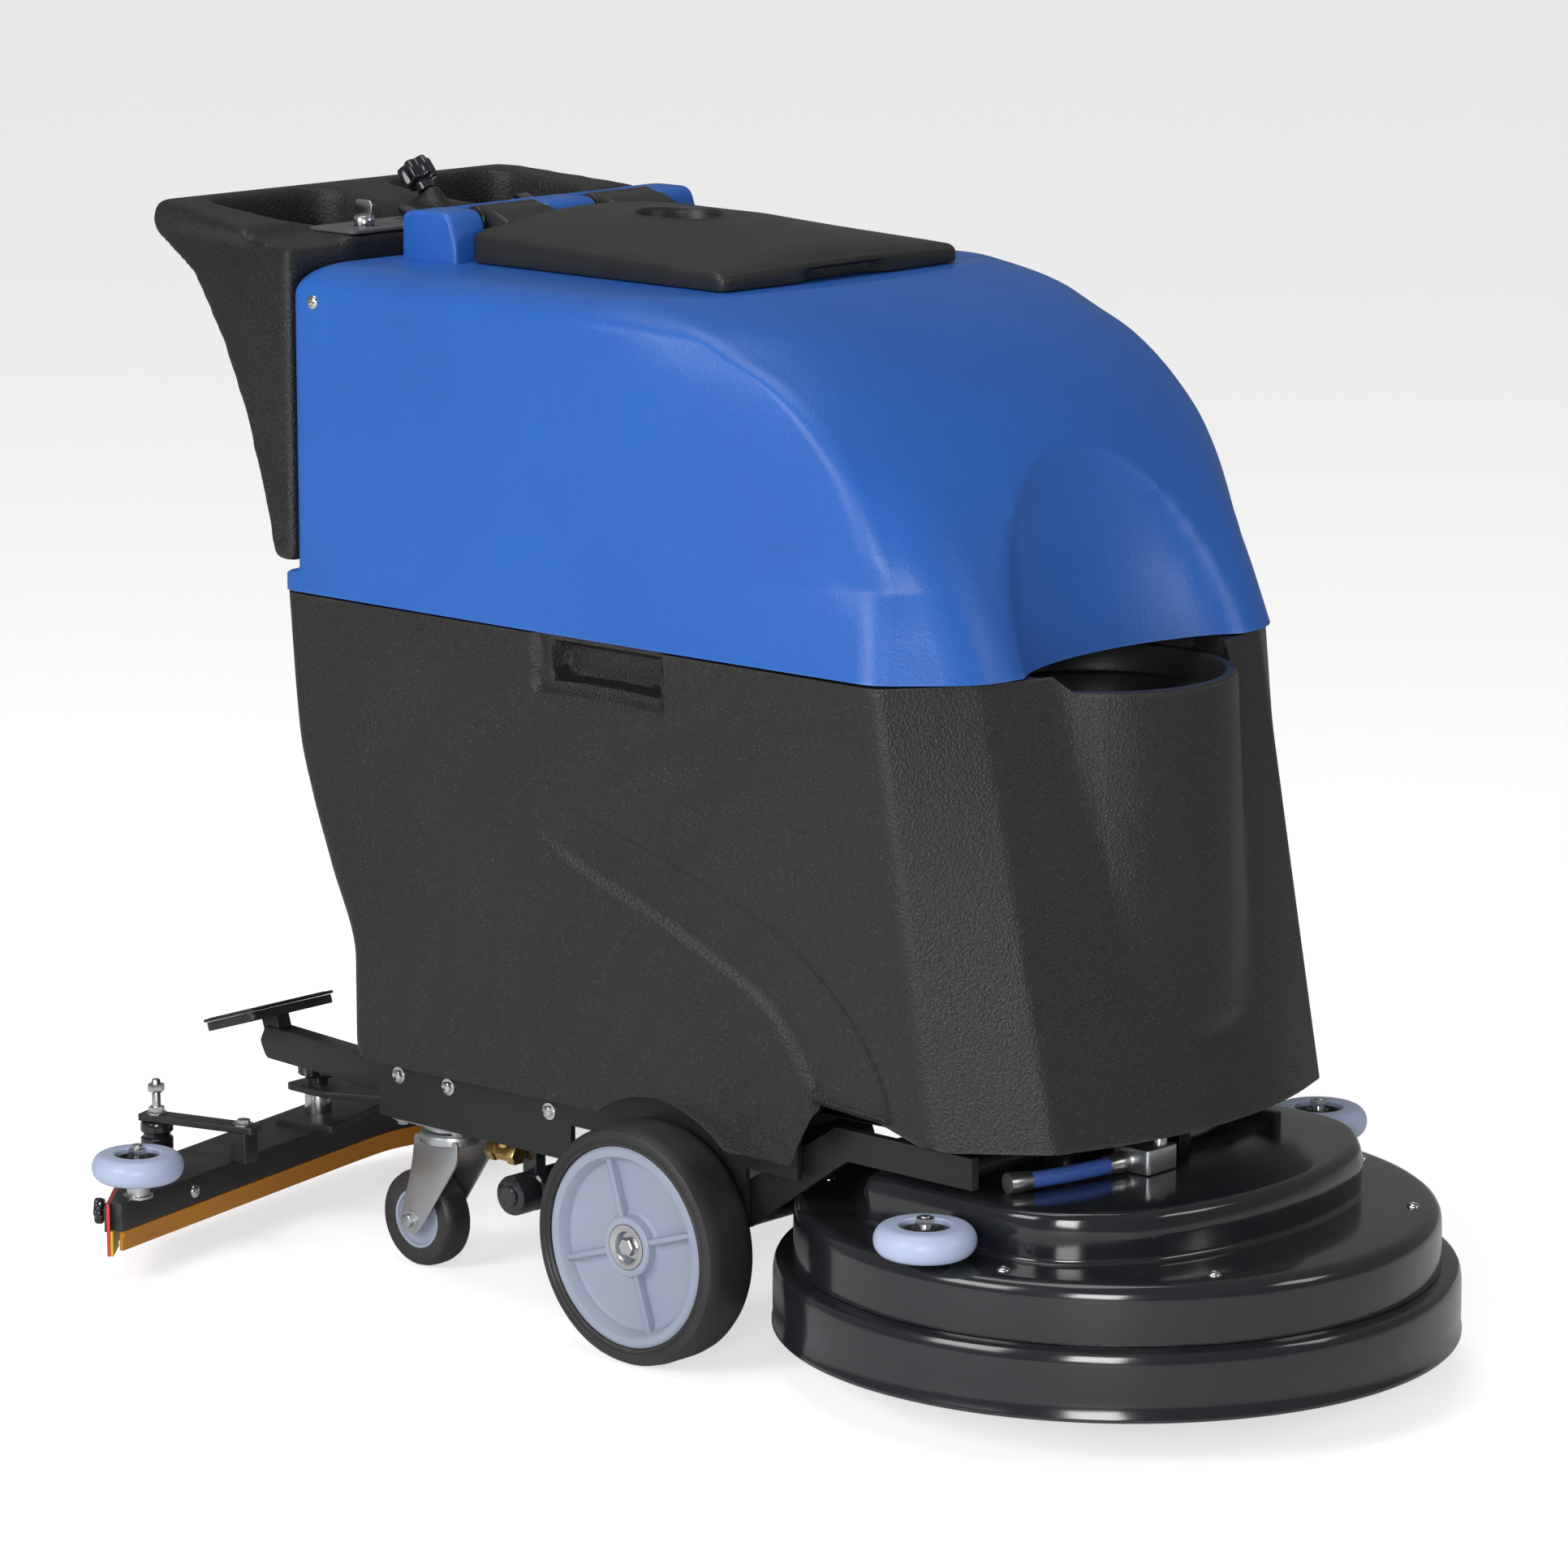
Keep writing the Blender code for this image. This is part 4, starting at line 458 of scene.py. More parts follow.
GREY = finish("panel_grey", (0.105, 0.108, 0.112), (0.085, 0.088, 0.092), 0.38, scale=900, bump=0.06,
              worn=(0.25, 0.25, 0.25), wear=0.25)
CASING = finish("motor_casing", (0.10, 0.10, 0.105), (0.14, 0.14, 0.145), 0.42, metallic=0.8, scale=240,
                bump=0.2,
                dusty=0.2)
BRISTLE = finish("brush_grey", (0.20, 0.21, 0.24), (0.14, 0.15, 0.17), 0.6, scale=240, bump=0.4, dusty=0.3,
                 shrink=(4, 4, 0.2))
print(len(bpy.data.materials), "finishes")


# %% [markdown]
# ## The camera, the floor and the light
# The machine is seen from its front right corner, a little from above, through a long
# lens.  A pale floor carries it; a large soft light hangs to the left of the camera, so
# the broad side is lit evenly and the nose, which faces away from it, falls darker.

# %% Camera, floor and lights
scene = bpy.context.scene
right = np.array([0.7354, 0.6776, 0.0])
above = np.array([-0.1362, 0.1478, 0.9796])
ahead = np.array([-0.6638, 0.7204, -0.2010])
stand = np.array([3.08599 + AXIS_X, -3.74737, 1.48010])
lens = bpy.data.cameras.new("camera")
lens.lens, lens.sensor_width, lens.clip_end = 142.14, 36.0, 60.0
camera = bpy.data.objects.new("camera", lens)
camera.matrix_world = Matrix([[*row, place] for row, place in zip(np.stack([right, above, -ahead], 1), stand)]
                             + [[0, 0, 0, 1]])
scene.collection.objects.link(camera)
scene.camera = camera


def soft_light(name, place, aim, size, power, tint=(1, 1, 1)):
    """A square area light that looks from one point to another."""
    data = bpy.data.lights.new(name, "AREA")
    data.shape, data.size, data.energy, data.color = "SQUARE", size, power, tint
    lamp = bpy.data.objects.new(name, data)
    u, v, w = basis(np.subtract(place, aim))
    lamp.matrix_world = Matrix([[*row, p] for row, p in zip(np.stack([u, v, w], 1), place)] + [[0, 0, 0, 1]])
    scene.collection.objects.link(lamp)


soft_light("key", (-0.6, -4.6, 2.4), (0, 0, 0.45), 2.2, 105)
soft_light("front", (2.5, -3.3, 1.1), (0, 0, 0.40), 1.2, 62)
soft_light("overhead", (-0.3, -0.4, 3.6), (0, 0, 0.3), 2.0, 34)
soft_light("rim", (3.8, 1.2, 2.0), (0, 0, 0.4), 1.2, 20)
world = bpy.data.worlds.new("studio")
world.use_nodes = True
world.node_tree.nodes["Background"].inputs["Color"].default_value = (1, 1, 1, 1)
world.node_tree.nodes["Background"].inputs["Strength"].default_value = 0.20
scene.world = world
scene.view_settings.view_transform = "Standard"

floor_paint = bpy.data.materials.new("floor")
floor_paint.use_nodes = True
floor_paint.node_tree.nodes["Principled BSDF"].inputs["Base Color"].default_value = (0.93, 0.93, 0.93, 1)
floor_paint.node_tree.nodes["Principled BSDF"].inputs["Roughness"].default_value = 0.7
seen = node(floor_paint.node_tree, "ShaderNodeLightPath").outputs["Is Camera Ray"]
glow = math_node(floor_paint.node_tree, "MULTIPLY", seen, 0.62)
floor_paint.node_tree.links.new(glow,
                                floor_paint.node_tree.nodes["Principled BSDF"].inputs["Emission Strength"])
ground = bpy.data.meshes.new("floor")
ground.from_pydata([(-30, -30, 0), (30, -30, 0), (30, 30, 0), (-30, 30, 0)], [], [(0, 1, 2, 3)])
ground.materials.append(floor_paint)
floor = bpy.data.objects.new("floor", ground)
scene.collection.objects.link(floor)
print("camera stands", round(float(np.linalg.norm(stand)), 2), "m away")


# %% [markdown]
# ## The feed hose
# A short blue braided hose brings solution from the valve block on the deck to the elbow
# beside it.  It is the machine's only free hose in view.  Its braid is two families of
# helical ridges that cross: the sine of turns plus length, times the sine of turns minus
# length.

# %% Hose with braid and end fittings
hose_knots = np.array([(0.052, -0.0568, 0.1945), (0.049, -0.090, 0.1945), (0.041, -0.130, 0.1945),
                       (0.029, -0.168, 0.1945)])


def through(knots, steps):
    """Catmull-Rom through knots, with end tangents that point at the next knot."""
    k = np.asarray(knots, float)
    k = np.vstack([2 * k[0] - k[1], k, 2 * k[-1] - k[-2]])
    t = (np.arange(steps) / steps)[None, :, None]
    p0, p1, p2, p3 = (k[i:len(k) - 3 + i][:, None] for i in range(4))
    body = 0.5 * (2 * p1 + (p2 - p0) * t + (2 * p0 - 5 * p1 + 4 * p2 - p3) * t ** 2
                  + (3 * p1 - p0 - 3 * p2 + p3) * t ** 3)
    return np.vstack([body.reshape(-1, k.shape[1]), k[-2]])


hose_line = through(hose_knots, 40)
angles = np.arange(32) * 2 * np.pi / 32
along = np.linalg.norm(np.diff(hose_line, axis=0, prepend=hose_line[:1]), axis=1).cumsum()
weave = (0.00025 * np.sin(4 * angles[None] + along[:, None] * 900)
         * np.sin(4 * angles[None] - along[:, None] * 900))
direction = np.gradient(hose_line, axis=0)
direction /= np.linalg.norm(direction, axis=1)[:, None]
side = np.cross(direction, (0, 0, 1.0))
side /= np.linalg.norm(side, axis=1)[:, None]
lift = np.cross(side, direction)
radius = (0.0067 + weave)[..., None]
tube = hose_line[:, None] + radius * (np.cos(angles)[None, :, None] * side[:, None]
                                      + np.sin(angles)[None, :, None] * lift[:, None])
hose = piece("hose", [skin(tube)], BRAID, "deck", ["deck_hose"])
fittings = piece("hose_fittings", [
    turned([(0, 0), (0.0085, 0), (0.0085, 0.012), (0.0078, 0.0135), (0.0078, 0.020), (0.0071, 0.021),
            (0, 0.021)],
           hose_line[0] - direction[0] * 0.002, direction[0], 24),
    turned([(0, 0), (0.0085, 0), (0.0085, 0.012), (0.0078, 0.0135), (0.0078, 0.020), (0.0071, 0.021),
            (0, 0.021)],
           hose_line[-1] + direction[-1] * 0.002, -direction[-1], 24)],
    ZINC, "deck")


# %% [markdown]
# ## The black lower body
# The lower tank is one rotomoulded shell.  In plan it is a box whose front narrows over
# two pairs of facets to a blunt nose, and every corner of the plan drifts as it rises.
# Rings of equal counts are stacked from hem to seam; each column then runs from its own
# hem height to its own top, so the wheel arch is cut by the mesh itself.

# %% Rings of the lower body
REAR_LOW = [(0.190, -0.634), (0.213, -0.643), (0.284, -0.643), (0.364, -0.672), (0.417, -0.692),
            (0.471, -0.707), (0.590, -0.718)]


def mirrored(points):
    """Right-hand corners, the middle one, then the same corners on the left."""
    p = np.asarray(points, float)
    return np.vstack([p, p[-2::-1] * (1, -1)])


def lower_ring(z):
    """Plan outline of the lower body at height z; share runs from nose foot to seam."""
    share = (z - 0.225) / 0.365
    ax, ay = -0.049 * share, 0.228 + 0.016 * share
    bx, by = 0.076 - 0.074 * share, 0.168 + 0.004 * share
    tip = 0.112 - 0.084 * share
    t = np.array([0.66, 0.33, 0.0])
    nose = np.stack([bx + (tip - bx) * (1 - t ** 2), -by * t], 1)
    rear = float(smooth_line(REAR_LOW, np.array([z]))[0])
    corners = mirrored([(rear, -HALF_WIDTH), (ax, -ay), (bx, -by), *nose])
    radii = np.array([0.022, 0.008, 0.006, 0.05, 0.05, 0.05, 0.05, 0.05, 0.006, 0.008, 0.022])
    return ring(corners, radii, [170, 22, 10, 10, 10, 10, 10, 10, 22, 170, 30])


levels = np.linspace(0.186, SEAM_Z, 90)
rings = np.stack([lower_ring(z) for z in levels])
middle = rings[levels.searchsorted(0.30)]
print("lower body rings", rings.shape)


# %% [markdown]
# The hem hangs low behind, climbs over the wheel as an arc struck from the axle, dips to a
# toe behind it and rises again towards the deck.  At the top the rim drops by 14 mm round
# the filler cup, where the blue tank is scooped out above it.

# %% Hem and top heights of each column
WHEEL_X, ARCH = -0.297, 0.120
HEM = [(-0.720, 0.198), (-0.361, 0.198), (-0.212, 0.189), (-0.162, 0.189), (-0.123, 0.246),
       (-0.054, 0.241), (0.0, 0.2255), (0.130, 0.2255)]
x_of, y_of = middle[:, 0], middle[:, 1]
arch = 0.100 + np.sqrt(np.maximum(ARCH ** 2 - (x_of - WHEEL_X) ** 2, 0))
hem = np.maximum(np.interp(x_of, *np.array(HEM).T), np.where(np.abs(x_of - WHEEL_X) < ARCH, arch, 0))
brim = np.where((x_of > -0.05) & (np.abs(y_of) < 0.098), 0.576, SEAM_Z - 0.0003)


def at_height(stack, heights, z):
    """Sample a stack of rings column by column at heights z (rows, columns)."""
    place = np.clip((z - heights[0]) / (heights[1] - heights[0]), 0, len(heights) - 1.001)
    low = place.astype(int)
    share = (place - low)[..., None]
    column = np.broadcast_to(np.arange(stack.shape[1]), z.shape)
    flat = stack[low, column] * (1 - share) + stack[low + 1, column] * share
    return np.concatenate([flat, z[..., None]], -1)


wall = at_height(rings, levels, hem + (brim - hem) * np.linspace(0, 1, 112)[:, None])

# %% [markdown]
# The filler cup swells out of the nose as a leaning drum whose radius shrinks below.
# Where drum and nose meet they are blended: smoothmax(a, b) = a + h log(1 + e^((b - a)/h)).
# A shallow band sweeps down the side from the middle to the arch, and the right side has a
# hand grip sunk under the seam.

# %% Drum, sweeping band and hand grip
def smooth_max(a, b, soft):
    """The larger of two values, with the corner rounded: a + h log(1 + e^((b - a)/h))."""
    return a + soft * np.logaddexp(0, (b - a) / soft)


CUP_X, CUP_R = -0.030, 0.115
x, y, z = wall[..., 0].copy(), wall[..., 1].copy(), wall[..., 2]
leaning = CUP_R + 0.050 * (0.576 - z) - 0.040 * (1 - step(0.235, 0.315, z))
drum = CUP_X + np.sqrt(np.maximum(leaning ** 2 - y ** 2, 0))
wall[..., 0] = np.where((x > -0.01) & (np.abs(y) < leaning), smooth_max(x, drum, 0.0016), x)

LOWER_EDGE = [(-0.430, 0.431), (-0.371, 0.401), (-0.278, 0.368), (-0.220, 0.343), (-0.170, 0.317),
              (-0.136, 0.277), (-0.119, 0.248)]
UPPER_EDGE = [(-0.430, 0.459), (-0.336, 0.436), (-0.237, 0.408), (-0.164, 0.381), (-0.108, 0.344),
              (-0.070, 0.304), (-0.037, 0.243)]
over_it = step(-0.005, 0.005, z - smooth_line(LOWER_EDGE, x) + 0.06 * step(-0.125, -0.112, x))
under_it = 1 - step(-0.005, 0.005, z - smooth_line(UPPER_EDGE, x))
band = over_it * under_it * step(-0.44, -0.36, x) * (1 - step(-0.052, -0.036, x))
grip = step(-0.421, -0.415, x) * (1 - step(-0.279, -0.273, x)) * step(0.541, 0.548, z)
pocket = (step(-0.402, -0.397, x) * (1 - step(-0.287, -0.282, x)) * step(0.552, 0.557, z)
          * (1 - step(0.581, 0.586, z)))
sunk = 0.0045 * band + (y < 0) * (0.006 * grip + 0.016 * pocket)
wall[..., 1] = y - np.sign(y) * sunk * (np.abs(y) > 0.20)
print("drum stands out", round(float((wall[..., 0] - x).max()) * 1000, 1), "mm")

# %% [markdown]
# Above the wall the mesh turns in over the deck of the tank, then down into the battery
# well.  Round the cup the deck sinks to clear the cup's own stepped insert.  Below, the
# hem turns in by the thickness of the skirt and rises to a flat belly.

# %% Deck, battery well and belly
outline = wall[-1, :, :2]
well = np.stack([np.clip(middle[:, 0], -0.6295, -0.2895), np.clip(middle[:, 1], -0.178, 0.178)], 1)
rows = [np.column_stack([inset(middle, 0.03), np.maximum(0.2285, hem + 0.003)]),
        np.column_stack([inset(middle, 0.007), np.maximum(0.2285, hem + 0.003)]),
        np.column_stack([inset(middle, 0.006), hem + 0.001]),
        np.column_stack([inset(middle, 0.002), hem - 0.0003])]
rows += list(wall)
for part in (0.004, 0.03, 0.08, 0.14, 0.2, 0.3, 0.4, 0.5, 0.6, 0.7, 0.8, 0.9, 0.97):
    flat = outline + (well - outline) * part
    seat = 1 - step(0.116, 0.120, np.hypot(flat[:, 0] - CUP_X, flat[:, 1]))
    rows.append(np.column_stack([flat, brim * (1 - seat) + 0.50 * seat]))
rows += [np.column_stack([well, np.full(len(well), h)]) for h in (0.5895, 0.585, 0.43, 0.262, 0.256)]
lower_shape = skin(np.stack(rows))

# %% [markdown]
# The filler cup is a separate turned insert: a rounded rim, then three steps that narrow
# to the neck where the strainer hangs.

# %% Filler cup, hinge eyes and the finished lower body
cup = turned([(0.1146, 0.560), (0.1148, 0.5755), (0.1135, 0.5772), (0.110, 0.5778), (0.1065, 0.5772),
              (0.105, 0.5755), (0.1025, 0.558), (0.1015, 0.5555), (0.0945, 0.5545), (0.093, 0.5530),
              (0.0905, 0.540), (0.0895, 0.5375), (0.0815, 0.5365), (0.080, 0.5350), (0.0775, 0.522),
              (0.0765, 0.5195), (0.0515, 0.5180), (0.050, 0.5165), (0.050, 0.500), (0.048, 0.498),
              (0.046, 0.500), (0.046, 0.512), (0.075, 0.514), (0.100, 0.545)], (CUP_X, 0, 0), count=120)
eyes = [turned([(0.0043, -0.0095), (0.0065, -0.0095), (0.007, -0.009), (0.007, 0.009), (0.0065, 0.0095),
                (0.0043, 0.0095)], (rear + 0.010, 0.2545, 0.5985), (1, 0, 0), 32) for rear in (-0.565,
                                                                                               -0.295)]
feet = [block((rear, 0.2465, 0.574), (rear + 0.020, 0.2595, 0.592), 0.0012) for rear in (-0.565, -0.295)]
piece("lower_body", [lower_shape, *eyes, *feet], BLACK, "chassis", ["solution_tank"])
piece("filler_cup", [cup], LID_BLACK, "chassis")


# %% [markdown]
# ## The blue recovery tank
# The upper tank closes in as it rises.  Its cheek crease and its nose crease are the two
# long curves that give the machine its face, so each ring's corners are read from them at
# the ring's height.  Over the shoulder the side follows a quarter ellipse.

# %% Rings of the recovery tank
CHEEK = [(0.590, -0.047), (0.661, -0.043), (0.698, -0.052), (0.744, -0.073), (0.783, -0.108),
         (0.814, -0.151), (0.833, -0.195), (0.850, -0.235), (0.867, -0.290)]
NOSE = [(0.590, 0.012), (0.641, -0.010), (0.696, -0.040), (0.745, -0.075), (0.777, -0.105),
        (0.811, -0.148), (0.843, -0.208), (0.867, -0.288)]


def tank_outline(z, tuck=0.0, depth=0.0):
    """Plan of the recovery tank at height z.

    tuck draws the sides in over the shoulder, depth draws in the whole plan, and lean
    draws in the front corners of the cheeks, more the higher they stand.
    """
    at = np.array([z])
    xa, xc = float(smooth_line(CHEEK, at)[0]), float(smooth_line(NOSE, at)[0])
    yc = 0.180 - tuck * 0.6 - depth
    lean = float(np.interp(z, [0.590, 0.620, 0.660], [0.006, 0.014, 0.0235]))
    rear = -0.7015 - 0.0155 * (1 - float(step(0.606, 0.611, at)[0])) + 0.45 * tuck + depth
    side_y = HALF_WIDTH - tuck - depth
    t = np.array([0.66, 0.33, 0.0])
    bow = 0.004 + 0.021 * float(step(0.63, 0.78, at)[0])
    nose = np.stack([xc - depth + bow * (1 - t ** 2), -yc * t], 1)
    xa = min(xa - lean - depth, xc - 0.012)
    corners = mirrored([(rear, -side_y), (-0.340, -side_y), (xa, lean - side_y), (xc - depth, -yc), *nose])
    radii = np.array([0.016, 0.150, 0.014, 0.030, 0.05, 0.05, 0.05, 0.05, 0.05, 0.030, 0.014, 0.150, 0.016])
    return ring(corners, radii, [70, 60, 30, 24, 24, 24, 24, 24, 24, 30, 60, 70, 40])


turn = np.linspace(0, np.pi / 2, 12)[1:]
heights = np.concatenate([np.linspace(SEAM_Z + 0.0015, 0.842, 110), 0.842 + 0.025 * np.sin(turn)])
tucks = np.concatenate([np.zeros(110), 0.045 * (1 - np.cos(turn))])
flat = np.stack([tank_outline(h, t) for h, t in zip(heights, tucks)])
shell = np.concatenate([flat, np.broadcast_to(heights[:, None, None], (*flat.shape[:2], 1))], -1)
print("recovery tank rings", shell.shape)

# %% [markdown]
# Two hollows shape the face.  A facet is pressed in behind the cheek crease, deepest at
# the crease itself.  The pouring scoop over the cup is a softened ellipsoid: with
# e^2 = (y/a)^2 + (z/b)^2 the nose moves back by depth * max(0, 1 - e^2)^0.6.

# %% Facet, scoop, cap and mouth
x, y, z = shell[..., 0].copy(), shell[..., 1].copy(), shell[..., 2].copy()
FACET = [(0.590, -0.050), (0.616, -0.064), (0.653, -0.108), (0.678, -0.174), (0.692, -0.260)]
behind = smooth_line(FACET, z)
depth = 0.0040 * step(0.0, 0.080, x - behind) * (1 - step(0.655, 0.692, z)) * (np.abs(y) > 0.2)
shell[..., 1] = y - np.sign(y) * depth * (1 - step(-0.060, -0.030, x))
inside = 1 - (y / 0.132) ** 2 - ((z - 0.585) / 0.166) ** 2
soft = np.logaddexp(0, inside / 0.05) * 0.05
shell[..., 0] = x - 0.036 * np.minimum(soft, 1.0) ** 0.7 * (x > -0.20) * step(-0.10, 0.10, inside)
rim_ring = shell[-1, :, :2]
mouth = np.stack([np.clip(rim_ring[:, 0], -0.585, -0.325), np.clip(rim_ring[:, 1], -0.120, 0.120)], 1)
cap = []
for part in (0.06, 0.2, 0.4, 0.6, 0.8, 0.97, 1.0):
    cap.append(np.column_stack([rim_ring + (mouth - rim_ring) * part, np.full(len(mouth), TANK_TOP)]))
cap.append(np.column_stack([mouth, np.full(len(mouth), TANK_TOP - 0.006)]))
chamber = []
for h, t in ((0.855, 0.030), (0.842, 0.004), (0.780, 0.0), (0.700, 0.0), (0.598, 0.0)):
    loop = tank_outline(h, t, 0.006)
    chamber.append(np.column_stack([np.clip(loop[:, 0], -0.6955, -0.115), loop[:, 1], np.full(len(loop), h)]))
tank_shape = skin(np.concatenate([shell, np.stack(cap), np.stack(chamber)]))

# %% [markdown]
# Behind the mouth stands the hinge ridge: two outer bosses and a middle one, with the
# lid's knuckles between them.  Two ears on the left side hang on the tilt rod.

# %% Ridge, ears and the finished tank
ridge_side = rounded([(-0.668, 0.858), (-0.668, 0.906), (-0.650, 0.9085), (-0.612, 0.9085), (-0.604, 0.886),
                      (-0.602, 0.858)], [0.001, 0.010, 0.012, 0.010, 0.012, 0.001], 6)
ridge = [slab(ridge_side, low, high, 0.004, "XZ", 6)
         for low, high in ((-0.148, -0.1085), (-0.0295, 0.0295), (0.1085, 0.148))]
ridge.append(block((-0.668, -0.140, 0.859), (-0.6585, 0.140, 0.906), 0.003))
ears = [block((rear, 0.243, 0.592), (rear + 0.020, 0.262, 0.607), 0.002) for rear in (-0.590, -0.320)]
piece("recovery_shell", [tank_shape, *ridge, *ears], BLUE, "upper_tank", ["recovery_tank"],
      32)


def bolt(centre, axis, radius, height, sides=6):
    """A hexagon head on a washer."""
    return [turned([(0, 0), (radius * 1.45, 0), (radius * 1.45, height * 0.22), (radius * 1.1, height * 0.27),
                    (0, height * 0.27)], centre, axis, 32),
            turned([(0, height * 0.2), (radius, height * 0.2), (radius, height * 0.9),
                    (radius * 0.86, height),
                    (0, height)], centre, axis, sides)]


def screw(centre, axis, radius, height):
    """A domed head with a hexagon socket."""
    a = np.linspace(0, 1, 7)
    dome = [(radius * math.cos(t * 1.2), height * math.sin(t * 1.2) / math.sin(1.2)) for t in a]
    return turned([(0, -0.001), (radius, -0.001), *dome, (radius * 0.34, height * 0.98),
                   (radius * 0.30, height * 0.45), (0, height * 0.42)], centre, axis, 24)


screws = [screw((-0.672, side * HALF_WIDTH, 0.838), (0, side, 0), 0.0062, 0.0028) for _, side in SIDES]
piece("corner_screws", screws, STEEL, "upper_tank")


# %% [markdown]
# ## Lid, handle and controls
# The lid is a shallow crowned plate with a round grip hollow.  Its outline shrinks towards
# the hollow's circle, point by point along rays from the hollow's centre, while the height
# follows edge + dome (1 - (y / 0.144)^2).

# %% Lid
HOLLOW = np.array([-0.486, 0.0])
front_t = np.array([0.66, 0.33, 0.0])
lid_front = np.stack([-0.301 + 0.004 * (1 - front_t ** 2), -0.144 * front_t], 1)
lid_plan = ring(mirrored([(-0.598, -0.136), (-0.301, -0.144), *lid_front]),
                [0.010, 0.008, 0.04, 0.04, 0.04, 0.04, 0.04, 0.008, 0.010], [60, 8, 8, 8, 8, 8, 8, 60, 60])
bearing = np.arctan2(*(lid_plan - HOLLOW).T[::-1])
rays = np.stack([np.cos(bearing), np.sin(bearing)], 1)


def lid_height(plan):
    """Height of the lid: its edge, plus a dome that falls as 1 - (y / half width)^2."""
    edge = np.interp(plan[:, 0], [-0.598, -0.590, -0.310, -0.301], [0.889, 0.892, 0.883, 0.880])
    dome = np.interp(plan[:, 0], [-0.598, -0.480, -0.330, -0.301], [0.014, 0.019, 0.010, 0.004])
    return edge + dome * (1 - (plan[:, 1] / 0.144) ** 2)


notch = (lid_plan[:, 0] > -0.31) * (1 - step(0.040, 0.046, np.abs(lid_plan[:, 1])))
rows = [np.column_stack([inset(lid_plan, d + 0.010 * notch), np.full(len(lid_plan), h)])
        for d, h in ((0.004, 0.8675), (0.0008, 0.8683), (0.0, 0.8700), (0.0, 0.8760))]
top_of_wall = lid_height(lid_plan) - 0.004
for a in np.linspace(0, np.pi / 2, 6):
    rows.append(np.column_stack([inset(lid_plan, 0.004 * (1 - math.cos(a))),
                                 top_of_wall + 0.004 * math.sin(a)]))
start = rows[-1][:, :2]
circle_edge = HOLLOW + rays * 0.041
for part in np.linspace(0.03, 1, 16):
    plan = start + (circle_edge - start) * part
    rows.append(np.column_stack([plan, lid_height(plan)]))
for r, lift in ((0.0395, 0.0009), (0.0382, 0.0009), (0.0370, -0.0004), (0.0364, -0.003), (0.0355, -0.0128),
                (0.0340, -0.0145), (0.0320, -0.0150), (0.0150, -0.0150)):
    plan = HOLLOW + rays * r
    rows.append(np.column_stack([plan, lid_height(plan) + lift]))
lid_shape = skin(np.stack(rows))
knuckle = [(0.0034, -0.0355), (0.0105, -0.0355), (0.0115, -0.0345), (0.0115, 0.0345), (0.0105, 0.0355),
           (0.0034, 0.0355)]
arm_side = rounded([(-0.625, 0.8905), (-0.590, 0.8800), (-0.585, 0.9000), (-0.604, 0.9075), (-0.625, 0.9100)],
                   0.004, 4)
lid_parts = [lid_shape]
for _, side in SIDES:
    lid_parts.append(turned(knuckle, (-0.625, side * 0.069, 0.899), (0, 1, 0), 40))
    lid_parts.append(slab(arm_side, *sorted((side * 0.035, side * 0.103)), 0.003, "XZ"))
piece("lid_shell", lid_parts, LID_BLACK, "lid", ["tank_lid"], 40)

# %% [markdown]
# The handle is a wedge that swells out of the tank's back and ends in two hand loops.
# Its CAD mesh has the true shape but flat facets, so it is merged, remeshed into 3 mm
# voxels and smoothed: the edges melt to the soft radii of a rotomoulded part.

# %% Handle
handle_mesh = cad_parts["handle_console"].data.copy()
handle_mesh.name = "handle"
handle = bpy.data.objects.new("handle", handle_mesh)
scene.collection.objects.link(handle)
bpy.context.view_layer.objects.active = handle
weld = handle.modifiers.new("weld", "WELD")
weld.merge_threshold = 0.00005
remesh = handle.modifiers.new("remesh", "REMESH")
remesh.mode, remesh.voxel_size = "VOXEL", 0.0030
smooth = handle.modifiers.new("smooth", "SMOOTH")
smooth.factor, smooth.iterations = 0.5, 34
melted = bpy.data.meshes.new_from_object(handle.evaluated_get(bpy.context.evaluated_depsgraph_get()))
handle.modifiers.clear()
handle.data = melted
melted.materials.clear()
melted.materials.append(BLACK)
melted.shade_smooth()
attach(handle, "upper_tank")
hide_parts("handle_console")
print("handle", len(melted.polygons), "faces")

# %% [markdown]
# The control panel carries a key, two rockers, a charge display and two lamps.  The key
# bow, rockers and star knob turn or tip, so each rides on its own body.

# %% Panel and controls
panel_top = 0.8883
panel_plan = rounded([(-0.7598, -0.1698), (-0.7037, -0.1698), (-0.7037, 0.1698), (-0.7598, 0.1698)], 0.006, 6)
piece("panel", [slab(panel_plan, 0.8853, panel_top, 0.0008)], GREY, "upper_tank",
      ["control_panel"])
window = rounded([(-0.748, -0.034), (-0.714, -0.034), (-0.714, 0.034), (-0.748, 0.034)], 0.003, 5)
piece("panel_window", [slab(window, panel_top, panel_top + 0.0012, 0.0004),
                       *[block((-0.747, y0, panel_top), (-0.717, y0 + 0.020, panel_top + 0.0006), 0.0003)
                         for y0 in (-0.080, 0.060)],
                       turned([(0, 0), (0.013, 0), (0.013, 0.0006), (0.0095, 0.0007), (0, 0.0007)],
                              (-0.732, -0.130, panel_top - 0.0001), (0, 0, 1), 40)], GLOSS, "upper_tank")
lamp = [(0, 0), (0.0035, 0), (0.0035, 0.0010), (0.0028, 0.0018), (0.0014, 0.0023), (0, 0.0024)]
piece("lamps", [turned(lamp, (-0.722, y0, panel_top), (0, 0, 1), 20) for y0 in (0.110, 0.125, 0.140)], RED,
      "upper_tank")
key_at = (-0.732, -0.130, panel_top + 0.0003)
